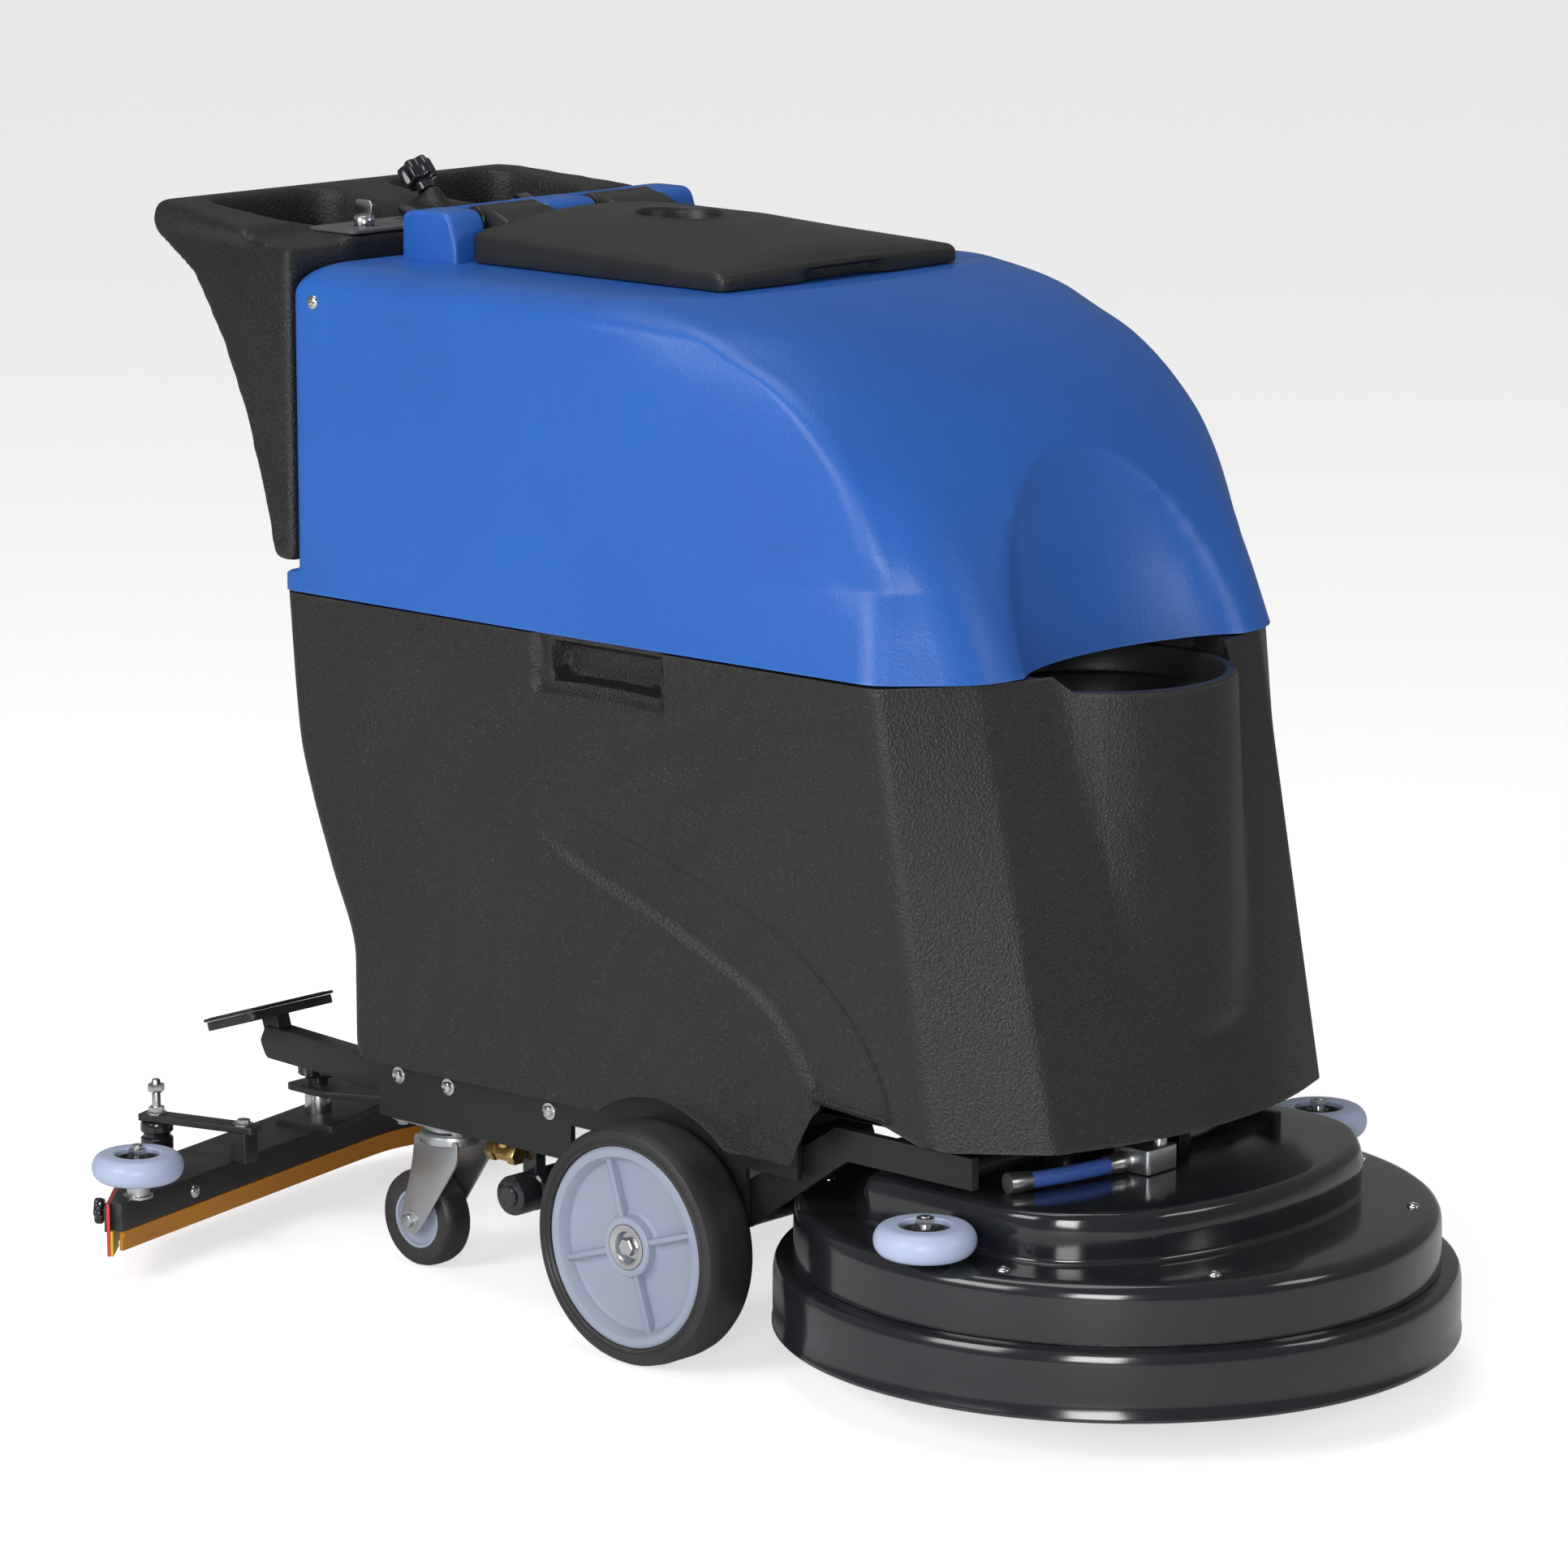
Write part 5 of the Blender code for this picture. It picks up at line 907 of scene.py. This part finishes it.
piece("key",
      [turned([(0, 0.0004), (0.0088, 0.0004), (0.009, 0.001), (0.009, 0.006), (0.0075, 0.008), (0, 0.008)],
                     key_at, (0, 0, 1), 40),
              slab(rounded([(-0.732 - 0.010, 0.8955), (-0.732 + 0.010, 0.8955), (-0.732 + 0.010, 0.910),
                            (-0.732 - 0.010, 0.910)], 0.005, 6), -0.1312, -0.1288, 0.0005, "XZ")],
      STEEL, "key", ["key_switch"])
for name, body, y0 in (("brush_switch", "brush_rocker", -0.070), ("vacuum_switch", "vacuum_rocker", 0.070)):
    low_z = panel_top + 0.0005
    rocker = rounded([(-0.7445, low_z + 0.0025), (-0.732, low_z), (-0.7195, low_z + 0.0025),
                      (-0.7195, low_z + 0.0045),
                      (-0.732, low_z + 0.0055), (-0.7445, low_z + 0.0100)], 0.0009, 4)
    piece(name + "_cap", [slab(rocker, y0 - 0.008, y0 + 0.008, 0.0006, "XZ")], GLOSS, body,
          [name])
for name, side in SIDES:
    button = [(0, -0.010), (0.0066, -0.010), (0.0069, -0.0096), (0.0069, 0.0096), (0.0064, 0.010), (0, 0.010)]
    piece("trigger_button_" + name, [turned(button, (-0.763, side * 0.105, 0.872), (1, 0, 0), 32)], STEEL,
          "trigger_" + name, ["trigger_" + name])


def star_knob(name, centre, axis, sizes, body, node_name, lobes=6):
    """A lobed grip on a plain neck: radius r (1 + 0.14 cos(lobes a)) over the grip only."""
    neck, grip_radius, low, grip_low, high = sizes
    soft = 0.0025
    grip = [(0, grip_low), (grip_radius - soft, grip_low), (grip_radius - soft * 0.3, grip_low + soft * 0.3),
            (grip_radius, grip_low + soft), (grip_radius, high - soft),
            (grip_radius - soft * 0.3, high - soft * 0.3),
            (grip_radius - soft, high), (grip_radius * 0.45, high + 0.0004),
            (grip_radius * 0.36, high - 0.0012),
            (0, high - 0.0012)]
    grip = [(r / 1.14, h) for r, h in grip]
    shapes = [turned(grip, centre, axis, 96, lobes, 0.14),
              turned([(0, low), (neck, low), (neck, grip_low + 0.001), (0, grip_low + 0.001)], centre, axis,
                     32)]
    return piece(name, shapes, GLOSS, body, [node_name], 45)


tilt = math.radians(-40)
star_knob("flow_star", (-0.785, 0, 0.8985), (math.sin(tilt), 0, math.cos(tilt)),
          (0.008, 0.016, 0.0066, 0.0150, 0.0345), "flow_control", "flow_knob")


# %% [markdown]
# ## Brush deck
# The deck is a glossy round cover over a rubber skirt, with a D-shaped housing raised on
# it.  The housing's sides flare softly into the cover: the outline is grown by a distance
# that falls as a quarter circle while the height climbs.

# %% Cover, housing and skirt
cover = [(0, 0.1450), (0.200, 0.1450), (0.250, 0.1450), (0.2555, 0.1440), (0.2595, 0.1410), (0.2615, 0.1370),
         (0.2622, 0.1320), (0.2628, 0.1000), (0.2630, 0.0968), (0.2590, 0.0967), (0.2580, 0.1320),
         (0.2560, 0.1380),
         (0.2500, 0.1410), (0, 0.1410)]


def housing(distance):
    """D-shaped plan, moved outwards by a distance."""
    y0 = 0.202 + distance
    t = np.linspace(-1, 1, 9)[1:-1]
    nose = np.stack([0.172 + distance - 0.052 * t ** 2, y0 * 0.93 * t], 1)
    corners = np.vstack([[(-0.100 - distance, -y0), (0.085, -y0)], nose,
                         [(0.085, y0), (-0.100 - distance, y0)]])
    return ring(corners, [0.016, 0.05] + [0.02] * 7 + [0.05, 0.016], [24, 8] + [5] * 6 + [8, 24, 40])


dome_rows = []
for a in np.linspace(0, np.pi / 2, 6):
    dome_rows.append((0.0045 * (1 - math.sin(a)), 0.1446 + 0.0045 * (1 - math.cos(a))))
dome_rows += [(0.0003 * k, 0.1500 + 0.0075 * k) for k in range(0, 4)]
for a in np.linspace(0, np.pi / 2, 7):
    dome_rows.append((-0.0008 - 0.0085 * (1 - math.cos(a)), 0.1775 + 0.0083 * math.sin(a)))
dome_rows += [(-0.03, 0.1860), (-0.08, 0.1860)]
housing_shape = skin(np.stack([np.column_stack([housing(d), np.full(len(housing(d)), h)]) for d,
                               h in dome_rows]))
lugs = [slab(rounded([(-0.014, 0.184), (0.014, 0.184), (0.014, 0.2176), (-0.014, 0.2176)],
                     [0.001, 0.001, 0.010, 0.010],
                     6), *sorted((side * 0.0632, side * 0.0768)), 0.0012, "XZ") for _, side in SIDES]
posts = [turned([(0, 0.1440), (0.0048, 0.1440), (0.0048, 0.1800), (0.0040, 0.1815), (0, 0.1815)],
                (0.012, side * 0.249, 0), (0, 0, 1), 24) for _, side in SIDES]
collars = [turned([(0, 0.1440), (0.0105, 0.1440), (0.0105, 0.1490), (0.0095, 0.1498), (0, 0.1498)],
                  (0.012, side * 0.249, 0), (0, 0, 1), 32) for _, side in SIDES]
piece("deck_shell", [turned(cover, count=160), housing_shape, *lugs, *collars], GLOSS, "deck",
      ["deck_cover"])
skirt = [(0.2740, 0.0400), (0.2788, 0.0400), (0.2800, 0.0412), (0.2800, 0.0440), (0.2790, 0.0455),
         (0.2792, 0.0600),
         (0.2790, 0.0850), (0.2780, 0.0915), (0.2765, 0.0945), (0.2735, 0.0959), (0.2650, 0.0962),
         (0.2550, 0.0962),
         (0.2550, 0.0862), (0.2740, 0.0862)]
piece("skirt", [turned(skirt, count=160)], GLOSS, "deck", ["deck_skirt"])
screw_places = [(0.2390 * math.cos(a),
                 0.2390 * math.sin(a)) for a in np.radians((-32, 35, 150, 210, -72, 72))]
piece("deck_screws", posts + [screw((px, py, 0.1450), (0, 0, 1), 0.0055, 0.0030) for px, py in screw_places]
      + [turned([(0, 0.176), (0.0078, 0.176), (0.0078, 0.1800), (0.006, 0.1808), (0, 0.1808)],
                (0.012, side * 0.249, 0), (0, 0, 1), 6) for _, side in SIDES], STEEL, "deck")
valve_plan = rounded([(0.0405, -0.0555), (0.0775, -0.0555), (0.0775, -0.0185), (0.0405, -0.0185)], 0.003, 5)
piece("spray_block", [slab(valve_plan, 0.1864, 0.2070, 0.0012),
                      turned([(0, 0.206), (0.006, 0.206), (0.006, 0.214), (0.005, 0.2158), (0, 0.2158)],
                             (0.068, -0.030, 0), (0, 0, 1), 24)], ZINC, "deck", ["spray_valve"])


# %% [markdown]
# A wall roller is a soft ring with a barrel section: its outer curve is half of a flattened
# circle, r = R - 0.4 h0 (1 - cos a), so it never shows a hard edge.

# %% Wall rollers
def wall_roller(name, centre, radius, low, high, body, node_name):
    """Pale ring, and a dark hub sunk inside it."""
    a = np.linspace(-np.pi / 2, np.pi / 2, 13)
    middle_z, half_z = (low + high) / 2, (high - low) / 2
    outer = [(radius - half_z * 0.85 * (1 - math.cos(t)), middle_z + half_z * math.sin(t)) for t in a]
    inner = radius - half_z * 0.85 - 0.010
    loop = [*outer, (inner + 0.0015, high - 0.0002), (inner, high - 0.0015), (inner, low + 0.0015),
            (inner + 0.0015, low + 0.0002)]
    piece(name, [turned(loop, centre, (0, 0, 1), 96)], PALE, body, [node_name])
    hub = [(0.0054, low + 0.003), (inner - 0.0002, low + 0.003), (inner - 0.0002, high - 0.0045),
           (inner - 0.003, high - 0.0042), (inner - 0.005, high - 0.0075), (0.0095, high - 0.0075),
           (0.0090, high - 0.003), (0.0054, high - 0.003)]
    piece(name + "_hub", [turned(hub, centre, (0, 0, 1), 64)], RUBBER, body)


for name, side in SIDES:
    wall_roller("deck_roller_ring_" + name, (0.012, side * 0.249, 0), 0.0408, 0.1502, 0.1748,
                "deck_roller_" + name, "deck_roller_" + name)


# %% [markdown]
# ## Wheels and casters
# A drive wheel is drawn once about the x = 0 plane of its own axis and then placed on each
# side.  The rim is a dish between lip and hub, stiffened by four ribs; the tyre has a
# square shoulder and a thin groove where it grips the rim.

# %% Drive wheels
rim_loop = [(0.0130, -0.0480), (0.0130, -0.0060), (0.0190, -0.0060), (0.0195, -0.0045), (0.0240, -0.0045),
            (0.0250, -0.0055), (0.0262, -0.0125), (0.0290, -0.0145), (0.0660, -0.0145), (0.0705, -0.0120),
            (0.0740, -0.0040), (0.0755, -0.0022), (0.0780, -0.0016), (0.0815, -0.0018), (0.0836, -0.0032),
            (0.0838, -0.0500), (0.0815, -0.0520), (0.0760, -0.0520), (0.0735, -0.0480), (0.0705, -0.0400),
            (0.0660, -0.0380), (0.0290, -0.0380), (0.0262, -0.0400), (0.0250, -0.0470), (0.0240, -0.0480)]
tyre_loop = [(0.0843, -0.0530), (0.0860, -0.0538), (0.0925, -0.0540), (0.0965, -0.0520), (0.0990, -0.0470),
             (0.1000, -0.0400), (0.1000, -0.0140), (0.0990, -0.0070), (0.0965, -0.0020), (0.0925, -0.0001),
             (0.0900, -0.0002), (0.0890, -0.0012), (0.0878, -0.0012), (0.0868, -0.0004), (0.0855, -0.0006),
             (0.0843, -0.0020)]
for name, side in SIDES:
    hub_at, out = np.array((-0.297, side * 0.270, 0.100)), (0, side, 0)
    ribs = []
    for turn_by in np.radians(18 + 90 * np.arange(4)):
        rib = slab(rounded([(0.0240, -0.0025), (0.0750, -0.0025), (0.0750, 0.0025), (0.0240, 0.0025)], 0.0008,
                           3),
                   -0.020, -0.0065, 0.0010)
        u, v, w = basis(out)
        turned_u = math.cos(turn_by) * u + math.sin(turn_by) * v
        frame_of_rib = np.eye(4)
        frame_of_rib[:3] = np.stack([turned_u, np.cross(w, turned_u), w, hub_at], 1)
        ribs.append(moved(rib, frame_of_rib))
    piece("rim_" + name, [turned(rim_loop, hub_at, out, 128), *ribs], LILAC, "wheel_" + name,
          ["wheel_rim_" + name], 30)
    piece("tyre_" + name, [turned(tyre_loop, hub_at, out, 160)], TYRE, "wheel_" + name,
          ["wheel_tyre_" + name])
    cap_at = hub_at - np.array(out) * 0.0062
    piece("hub_bolt_" + name, [turned([(0.0130, -0.001), (0.0130, 0.0010), (0.0150, 0.0018), (0.0183, 0.0018),
                                       (0.0186, 0.0008), (0.0186, -0.001)], cap_at, out, 64),
                               *bolt(cap_at - np.array(out) * 0.0055, out, 0.0080, 0.0085)],
          STEEL, "wheel_" + name)

# %% [markdown]
# Each caster has a bolted plate, a domed crown, two pressed legs and a wheel with a grey
# core.

# %% Swivel casters
leg_side = rounded([(-0.026, 0.1215), (0.026, 0.1215), (0.026, 0.104), (-0.018, 0.040), (-0.026, 0.031),
                    (-0.040, 0.031), (-0.046, 0.042), (-0.030, 0.092)],
                   [0.002, 0.004, 0.010, 0.008, 0.006, 0.006, 0.008, 0.020], 6) + (-0.600, 0)
crown = [(0, 0.1268), (0.0200, 0.1268), (0.0255, 0.1262), (0.0285, 0.1242), (0.0292, 0.1215),
         (0.0290, 0.1172),
         (0.0275, 0.1165), (0, 0.1165)]
race = [(0, 0.1345), (0.0255, 0.1345), (0.0262, 0.1330), (0.0262, 0.1290), (0.0250, 0.1275), (0, 0.1275)]
caster_tyre = [(0.0262, -0.0130), (0.0380, -0.0142), (0.0410, -0.0115), (0.0424, -0.0070), (0.0427, 0.0),
               (0.0424, 0.0070), (0.0410, 0.0115), (0.0380, 0.0142), (0.0262, 0.0130)]
caster_core = [(0.0046, -0.0150), (0.0120, -0.0150), (0.0130, -0.0105), (0.0225, -0.0105), (0.0235, -0.0128),
               (0.0258, -0.0130), (0.0260, 0.0130), (0.0235, 0.0128), (0.0225, 0.0105), (0.0130, 0.0105),
               (0.0120, 0.0150), (0.0046, 0.0150)]
for name, side in SIDES:
    y0 = side * 0.165
    at = np.array((-0.600, y0, 0))
    plate_plan = rounded([(-0.642, y0 - 0.036), (-0.558, y0 - 0.036), (-0.558, y0 + 0.036),
                          (-0.642, y0 + 0.036)],
                         0.007, 5)
    corner_bolts = [b for sx in (-1, 1) for sy in (-1, 1)
                    for b in bolt(at + (sx * 0.033, sy * 0.027, 0.1346), (0, 0, -1), 0.0050, 0.0050)]
    piece("caster_plate_" + name, [slab(plate_plan, 0.1347, 0.1386, 0.0008), turned(race, at, count=64),
                                   *corner_bolts], ZINC, "chassis", ["caster_mount_" + name])
    hub_at = at + (-0.033, 0, 0.0427)
    legs = [slab(leg_side, *sorted((y0 + s * 0.0185, y0 + s * 0.0210)), 0.0006, "XZ") for s in (-1, 1)]
    nuts = [b for s in (-1, 1) for b in bolt(hub_at + (0, s * 0.0208, 0), (0, s, 0), 0.0062, 0.0052)]
    piece("fork_" + name, [turned(crown, at, count=64), *legs, *nuts], ZINC, "caster_" + name,
          ["caster_fork_" + name])
    piece("caster_tyre_" + name, [turned(caster_tyre, hub_at, (0, 1, 0), 96)], TYRE, "caster_wheel_" + name,
          ["caster_wheel_" + name])
    piece("caster_core_" + name, [turned(caster_core, hub_at, (0, 1, 0), 96)], LILAC, "caster_wheel_" + name)

# %% [markdown]
# Under the right rail hangs the solution filter, a black bowl with a ribbed cap, and the
# brass shut-off valve above it.

# %% Filter, valve and rail bolts
bowl = [(0, 0), (0.0130, 0), (0.0160, 0.0012), (0.0172, 0.004), (0.0172, 0.020), (0.0150, 0.0215),
        (0.0150, 0.0240),
        (0.0172, 0.0255), (0.0174, 0.060), (0.0150, 0.0620), (0.0150, 0.0640), (0.0172, 0.0655),
        (0.0172, 0.080),
        (0.0155, 0.0845), (0, 0.0848)]
piece("filter_bowl", [turned(bowl, (-0.497, -0.200, 0.092), (0, 1, 0), 64),
                      turned([(0, -0.0004), (0.0080, -0.0004), (0.0095, 0.0008), (0.0095, 0.004), (0, 0.004)],
                             (-0.497, -0.203, 0.092), (0, 1, 0), 24),
                      block((-0.505, -0.176, 0.092), (-0.489, -0.164, 0.1640), 0.001)],
      GLOSS, "chassis", ["solution_filter"])
piece("brass_valve",
      [turned([(0, -0.017), (0.0085, -0.017), (0.0090, -0.016), (0.0090, -0.008), (0.0072, -0.0075),
                              (0.0072, 0.0075), (0.0090, 0.008), (0.0090, 0.016), (0.0085, 0.017),
                              (0, 0.017)],
                             (-0.516, -0.186, 0.1245), (1, 0, 0), 6),
                      turned([(0, 0), (0.0060, 0), (0.0060, 0.008), (0.0048, 0.0085), (0.0048, 0.016),
                              (0, 0.016)],
                             (-0.516, -0.186, 0.1300), (0, 0, 1), 24),
                      block((-0.530, -0.190, 0.1445), (-0.502, -0.182, 0.1470), 0.001)], BRASS, "chassis",
      ["shutoff_valve"])
rail_bolts = [b for _, side in SIDES for x0, z0 in ((-0.620, 0.1780), (-0.560, 0.1780), (-0.440, 0.1780))
              for b in bolt((x0, side * 0.2086, z0), (0, side, 0), 0.0050, 0.0045)]
piece("rail_bolts", rail_bolts, STEEL, "chassis")


# %% [markdown]
# ## Squeegee
# The squeegee is a shallow V.  Its front edge runs forward 0.2 m for each metre outwards;
# its rear edge turns in from a shoulder to a narrow tip.  Beam, blades and strap are all
# the same idea: a small section carried along y, with its front and rear read from those
# two lines.

# %% Squeegee beam, blades and strap
HALF_BEAM, SHOULDER = 0.392, 0.310


def front_line(along_y):
    """Front edge of the beam; sqrt(y^2 + r^2) - r rounds the point of the V."""
    return -0.846 + 0.2 * (np.sqrt(along_y ** 2 + 0.0004) - 0.02)


def back_line(along_y, extra=0.0):
    """Rear edge of the beam, moved back by extra."""
    a = np.abs(along_y)
    deep = np.interp(a, [0, SHOULDER + extra / 2, HALF_BEAM, HALF_BEAM + 0.01], [0.067, 0.067, 0.014, 0.0075])
    return front_line(along_y) - deep - extra


def bar_along(front_x, rear_x, along_y, low_z, high_z, soft):
    """A bar whose section at each y is a rounded box from rear_x to front_x."""
    corners = rounded([(-1, -1), (1, -1), (1, 1), (-1, 1)], 2 * soft / (high_z - low_z), 5)
    wide = (front_x - rear_x)[:, None]
    over = np.sign(corners[:, 0]) * (1 - np.abs(corners[:, 0])) * (high_z - low_z) / 2
    x = (front_x + rear_x)[:, None] / 2 + np.sign(corners[:, 0]) * wide / 2 - over
    z = np.broadcast_to((high_z + low_z) / 2 + corners[:, 1] * (high_z - low_z) / 2, x.shape)
    y = np.broadcast_to(along_y[:, None], x.shape)
    return skin(np.stack([x, y, z], -1))


beam_y = np.linspace(-HALF_BEAM, HALF_BEAM, 121)
beam = bar_along(front_line(beam_y), back_line(beam_y), beam_y, 0.048, 0.073, 0.0022)
bracket_plan = rounded([(-0.840, -0.020), (-0.810, -0.110), (-0.878, -0.118), (-0.890, 0.0), (-0.878, 0.118),
                        (-0.810, 0.110), (-0.840, 0.020)], 0.006, 5)
piece("beam", [beam, slab(bracket_plan, 0.072, 0.079, 0.001)], COATED, "squeegee",
      ["squeegee_beam"])
blade_y = np.linspace(-0.388, 0.388, 121)
piece("front_lip",
      [bar_along(front_line(blade_y) - 0.003, front_line(blade_y) - 0.007, blade_y, 0.030, 0.0477, 0.0005)],
      ORANGE, "squeegee", ["front_blade"])
piece("yellow_edge",
      [bar_along(front_line(blade_y) - 0.0005, front_line(blade_y) - 0.0029, blade_y, 0.0425, 0.0478,
                                0.0004)], ORANGE, "squeegee")
wide_y = np.linspace(-0.396, 0.396, 133)
piece("rear_lip",
      [bar_along(back_line(wide_y, 0.0003), back_line(wide_y, 0.0043), wide_y, 0.025, 0.071, 0.0005)],
      RED, "squeegee", ["rear_blade"])
tips = [bar_along(back_line(t, 0.0003) + 0.0036, back_line(t, 0.0003) + 0.0004, t, 0.0255, 0.0478, 0.0004)
        for t in (np.linspace(-0.3955, -0.370, 8), np.linspace(0.370, 0.3955, 8))]
piece("yellow_tips", tips, YELLOW, "squeegee")
piece("strap",
      [bar_along(back_line(wide_y, 0.0046), back_line(wide_y, 0.0071), wide_y, 0.046, 0.068, 0.0005)],
      GLOSS, "squeegee", ["rear_strap"])

# %% [markdown]
# Two steel spacers carry the swing plate; star knobs clamp it.  Outside them stand the
# wall rollers and, on flat bars, two small guide casters.

# %% Squeegee hardware
half_plate = [(-0.640, 0.028), (-0.715, 0.045), (-0.830, 0.102), (-0.880, 0.102), (-0.880, 0.060),
              (-0.838, 0.030)]
plate_plan = rounded(half_plate + [(px, -py) for px, py in half_plate[::-1]], 0.008, 6)
piece("swing_plate", [slab(plate_plan, 0.1003, 0.1063, 0.0010),
                      *bolt((-0.665, 0, 0.1063), (0, 0, 1), 0.0085, 0.0060)], COATED, "squeegee",
      ["squeegee_swing_plate"])
spacer = [(0, 0.0780), (0.0118, 0.0780), (0.0120, 0.0784), (0.0120, 0.0996), (0.0118, 0.1000), (0, 0.1000)]
steelwork = []
for name, side in SIDES:
    clamp_at = np.array((-0.860, side * 0.080, 0))
    steelwork.append(turned(spacer, clamp_at, count=48))
    star_knob("clamp_star_" + name, clamp_at, (0, 0, 1), (0.009, 0.018, 0.1066, 0.1125, 0.1272),
              "clamp_knob_" + name, "squeegee_knob_" + name, 5)
    steelwork.append(turned([(0, 0.1262), (0.0042, 0.1262), (0.0042, 0.1300), (0.0036, 0.1306), (0, 0.1306)],
                            clamp_at,
                            count=20))
    roller_at = np.array((-0.780, side * 0.365, 0))
    wall_roller("squeegee_roller_ring_" + name, roller_at, 0.0393, 0.0877, 0.1113, "side_roller_" + name,
                "squeegee_roller_" + name)
    steelwork += [turned([(0, 0.070), (0.0049, 0.070), (0.0049, 0.1180), (0.0042, 0.1188), (0, 0.1188)],
                         roller_at,
                         count=24),
                  turned([(0, 0.1105), (0.0078, 0.1105), (0.0078, 0.1150), (0.0064, 0.1156), (0, 0.1156)],
                         roller_at,
                         count=6),
                  turned([(0, 0.0728), (0.0130, 0.0728), (0.0130, 0.0745), (0.0100, 0.0750), (0.0100, 0.0872),
                          (0, 0.0872)], roller_at, count=32)]
    run = np.array((-0.885, side * 0.250)) - (-0.800, side * 0.225)
    unit = run / np.linalg.norm(run)
    across = np.array((-unit[1], unit[0]))
    ends = [np.array((-0.800, side * 0.225)) - unit * 0.014, np.array((-0.885, side * 0.250)) + unit * 0.014]
    bar_plan = rounded([ends[0] - across * 0.010, ends[1] - across * 0.010, ends[1] + across * 0.010,
                        ends[0] + across * 0.010], 0.003, 5)
    piece("guide_bar_" + name, [slab(bar_plan, 0.0995, 0.1055, 0.0008),
                                block((-0.810, side * 0.225 - 0.008, 0.0733),
                                      (-0.790, side * 0.225 + 0.008, 0.1000),
                                      0.0008)], COATED, "squeegee", ["guide_arm_" + name])
    stud_at = np.array((-0.885, side * 0.250, 0.1055))
    steelwork += [turned([(0, 0), (0.0039, 0), (0.0039, 0.0300), (0.0032, 0.0310), (0, 0.0310)], stud_at,
                         count=24),
                  turned([(0, 0.0200), (0.0072, 0.0200), (0.0075, 0.0205), (0.0075, 0.0262), (0.0070, 0.0268),
                          (0, 0.0268)], stud_at, count=6),
                  turned([(0, 0.0), (0.0090, 0.0), (0.0090, 0.0014), (0, 0.0014)], stud_at, count=32),
                  turned([(0, 0.0014), (0.0072, 0.0014), (0.0072, 0.0060), (0.0064, 0.0066), (0, 0.0066)],
                         stud_at,
                         count=6),
                  *bolt((-0.800, side * 0.225, 0.1055), (0, 0, 1), 0.0062, 0.0050)]
    piece("guide_wheel_" + name,
          [turned([(0.0120, 0.0990), (0.0138, 0.0984), (0.0144, 0.0965), (0.0144, 0.0905),
                                          (0.0120, 0.0885), (0.0120, 0.0860), (0.0144, 0.0840),
                                          (0.0144, 0.0745),
                                          (0.0135, 0.0724), (0.0118, 0.0718), (0, 0.0718), (0, 0.0915),
                                          (0.0043, 0.0915), (0.0043, 0.0990)], (-0.885, side * 0.250, 0),
                                          (0, 0, 1),
                                         48)], GLOSS, "guide_" + name,
                                         ["guide_caster_" + name])
    knob_low, knob_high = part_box("strap_knob_" + name)
    knob_mid = (np.array(knob_low) + np.array(knob_high)) / 2 - (AXIS_X, 0, 0)
    outwards = np.array((-0.764, side * 0.645, 0))
    seat_at = np.array((knob_mid[0], knob_mid[1], 0.057)) - outwards * 0.0068
    star_knob("tip_star_" + name, seat_at, outwards, (0.006, 0.0120, 0.0006, 0.0042, 0.0126),
              "strap_knob_" + name, "strap_knob_" + name, 5)
    face = np.array((front_line(np.array([0.290]))[0], side * 0.290, 0.060))
    steelwork.append(screw(face, (1, -0.2 * side, 0), 0.0062, 0.0030))
piece("squeegee_steelwork", steelwork, STEEL, "squeegee")

# %% [markdown]
# ## Lift pedal
# A flat lever runs back from its pivot and ends in a tilted pad with a ribbed rubber cover.

# %% Pedal
lever_side = rounded([(-0.561, 0.1205), (-0.561, 0.1465), (-0.885, 0.1615), (-0.893, 0.1465),
                      (-0.885, 0.1315)],
                     [0.006, 0.006, 0.004, 0.004, 0.004], 5)
slope = math.radians(18)
tilted = np.eye(4)
tilted[:3] = [[math.cos(slope), 0, -math.sin(slope), -0.889], [0, 1, 0, -0.110],
              [math.sin(slope), 0, math.cos(slope), 0.1705]]
pad_plan = rounded([(-0.033, -0.050), (0.033, -0.050), (0.033, 0.050), (-0.033, 0.050)], 0.008, 5)
cover_plan = rounded([(-0.035, -0.052), (0.035, -0.052), (0.035, 0.052), (-0.035, 0.052)], 0.009, 5)
piece("lever",
      [slab(lever_side, -0.1195, -0.1005, 0.0010, "XZ"), moved(slab(pad_plan, -0.004, 0.004, 0.001), tilted),
                moved(block((-0.004, -0.008, -0.020), (0.016, 0.008, -0.002), 0.001), tilted)], COATED,
                "pedal",
      ["lift_pedal"])
treads = [moved(block((-0.030 + 0.0075 * k, -0.046, 0.0070), (-0.0265 + 0.0075 * k, 0.046, 0.0076), 0.0004),
                tilted)
          for k in range(8)]
piece("tread", [moved(slab(cover_plan, 0.0043, 0.0072, 0.0010), tilted), *treads], RUBBER, "pedal",
      ["pedal_pad"])


# %% [markdown]
# ## Pieces carried over from the CAD
# What lies inside or shows as a plain machined shape keeps its CAD mesh and takes a
# finish of its own.

# %% Finishes for the carried-over pieces
CARRIED = {"chassis_frame": FRAME, "deck_arms": FRAME, "squeegee_lift_arm": FRAME, "axle_shaft": STEEL,
           "transaxle": CASING, "battery_right": GREY, "battery_left": GREY, "filler_strainer": LILAC,
           "vacuum_motor": CASING, "float_cage": LILAC, "brush_motor": CASING, "brush_disc": BRISTLE,
           "lid_hinge_pin": STEEL, "tank_hinge_rod": STEEL}
for name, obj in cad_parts.items():
    if obj.hide_render:
        continue
    obj.data.materials.clear()
    obj.data.materials.append(CARRIED.get(name, FRAME))
print("carried over:", sorted(n for n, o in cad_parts.items() if not o.hide_render))
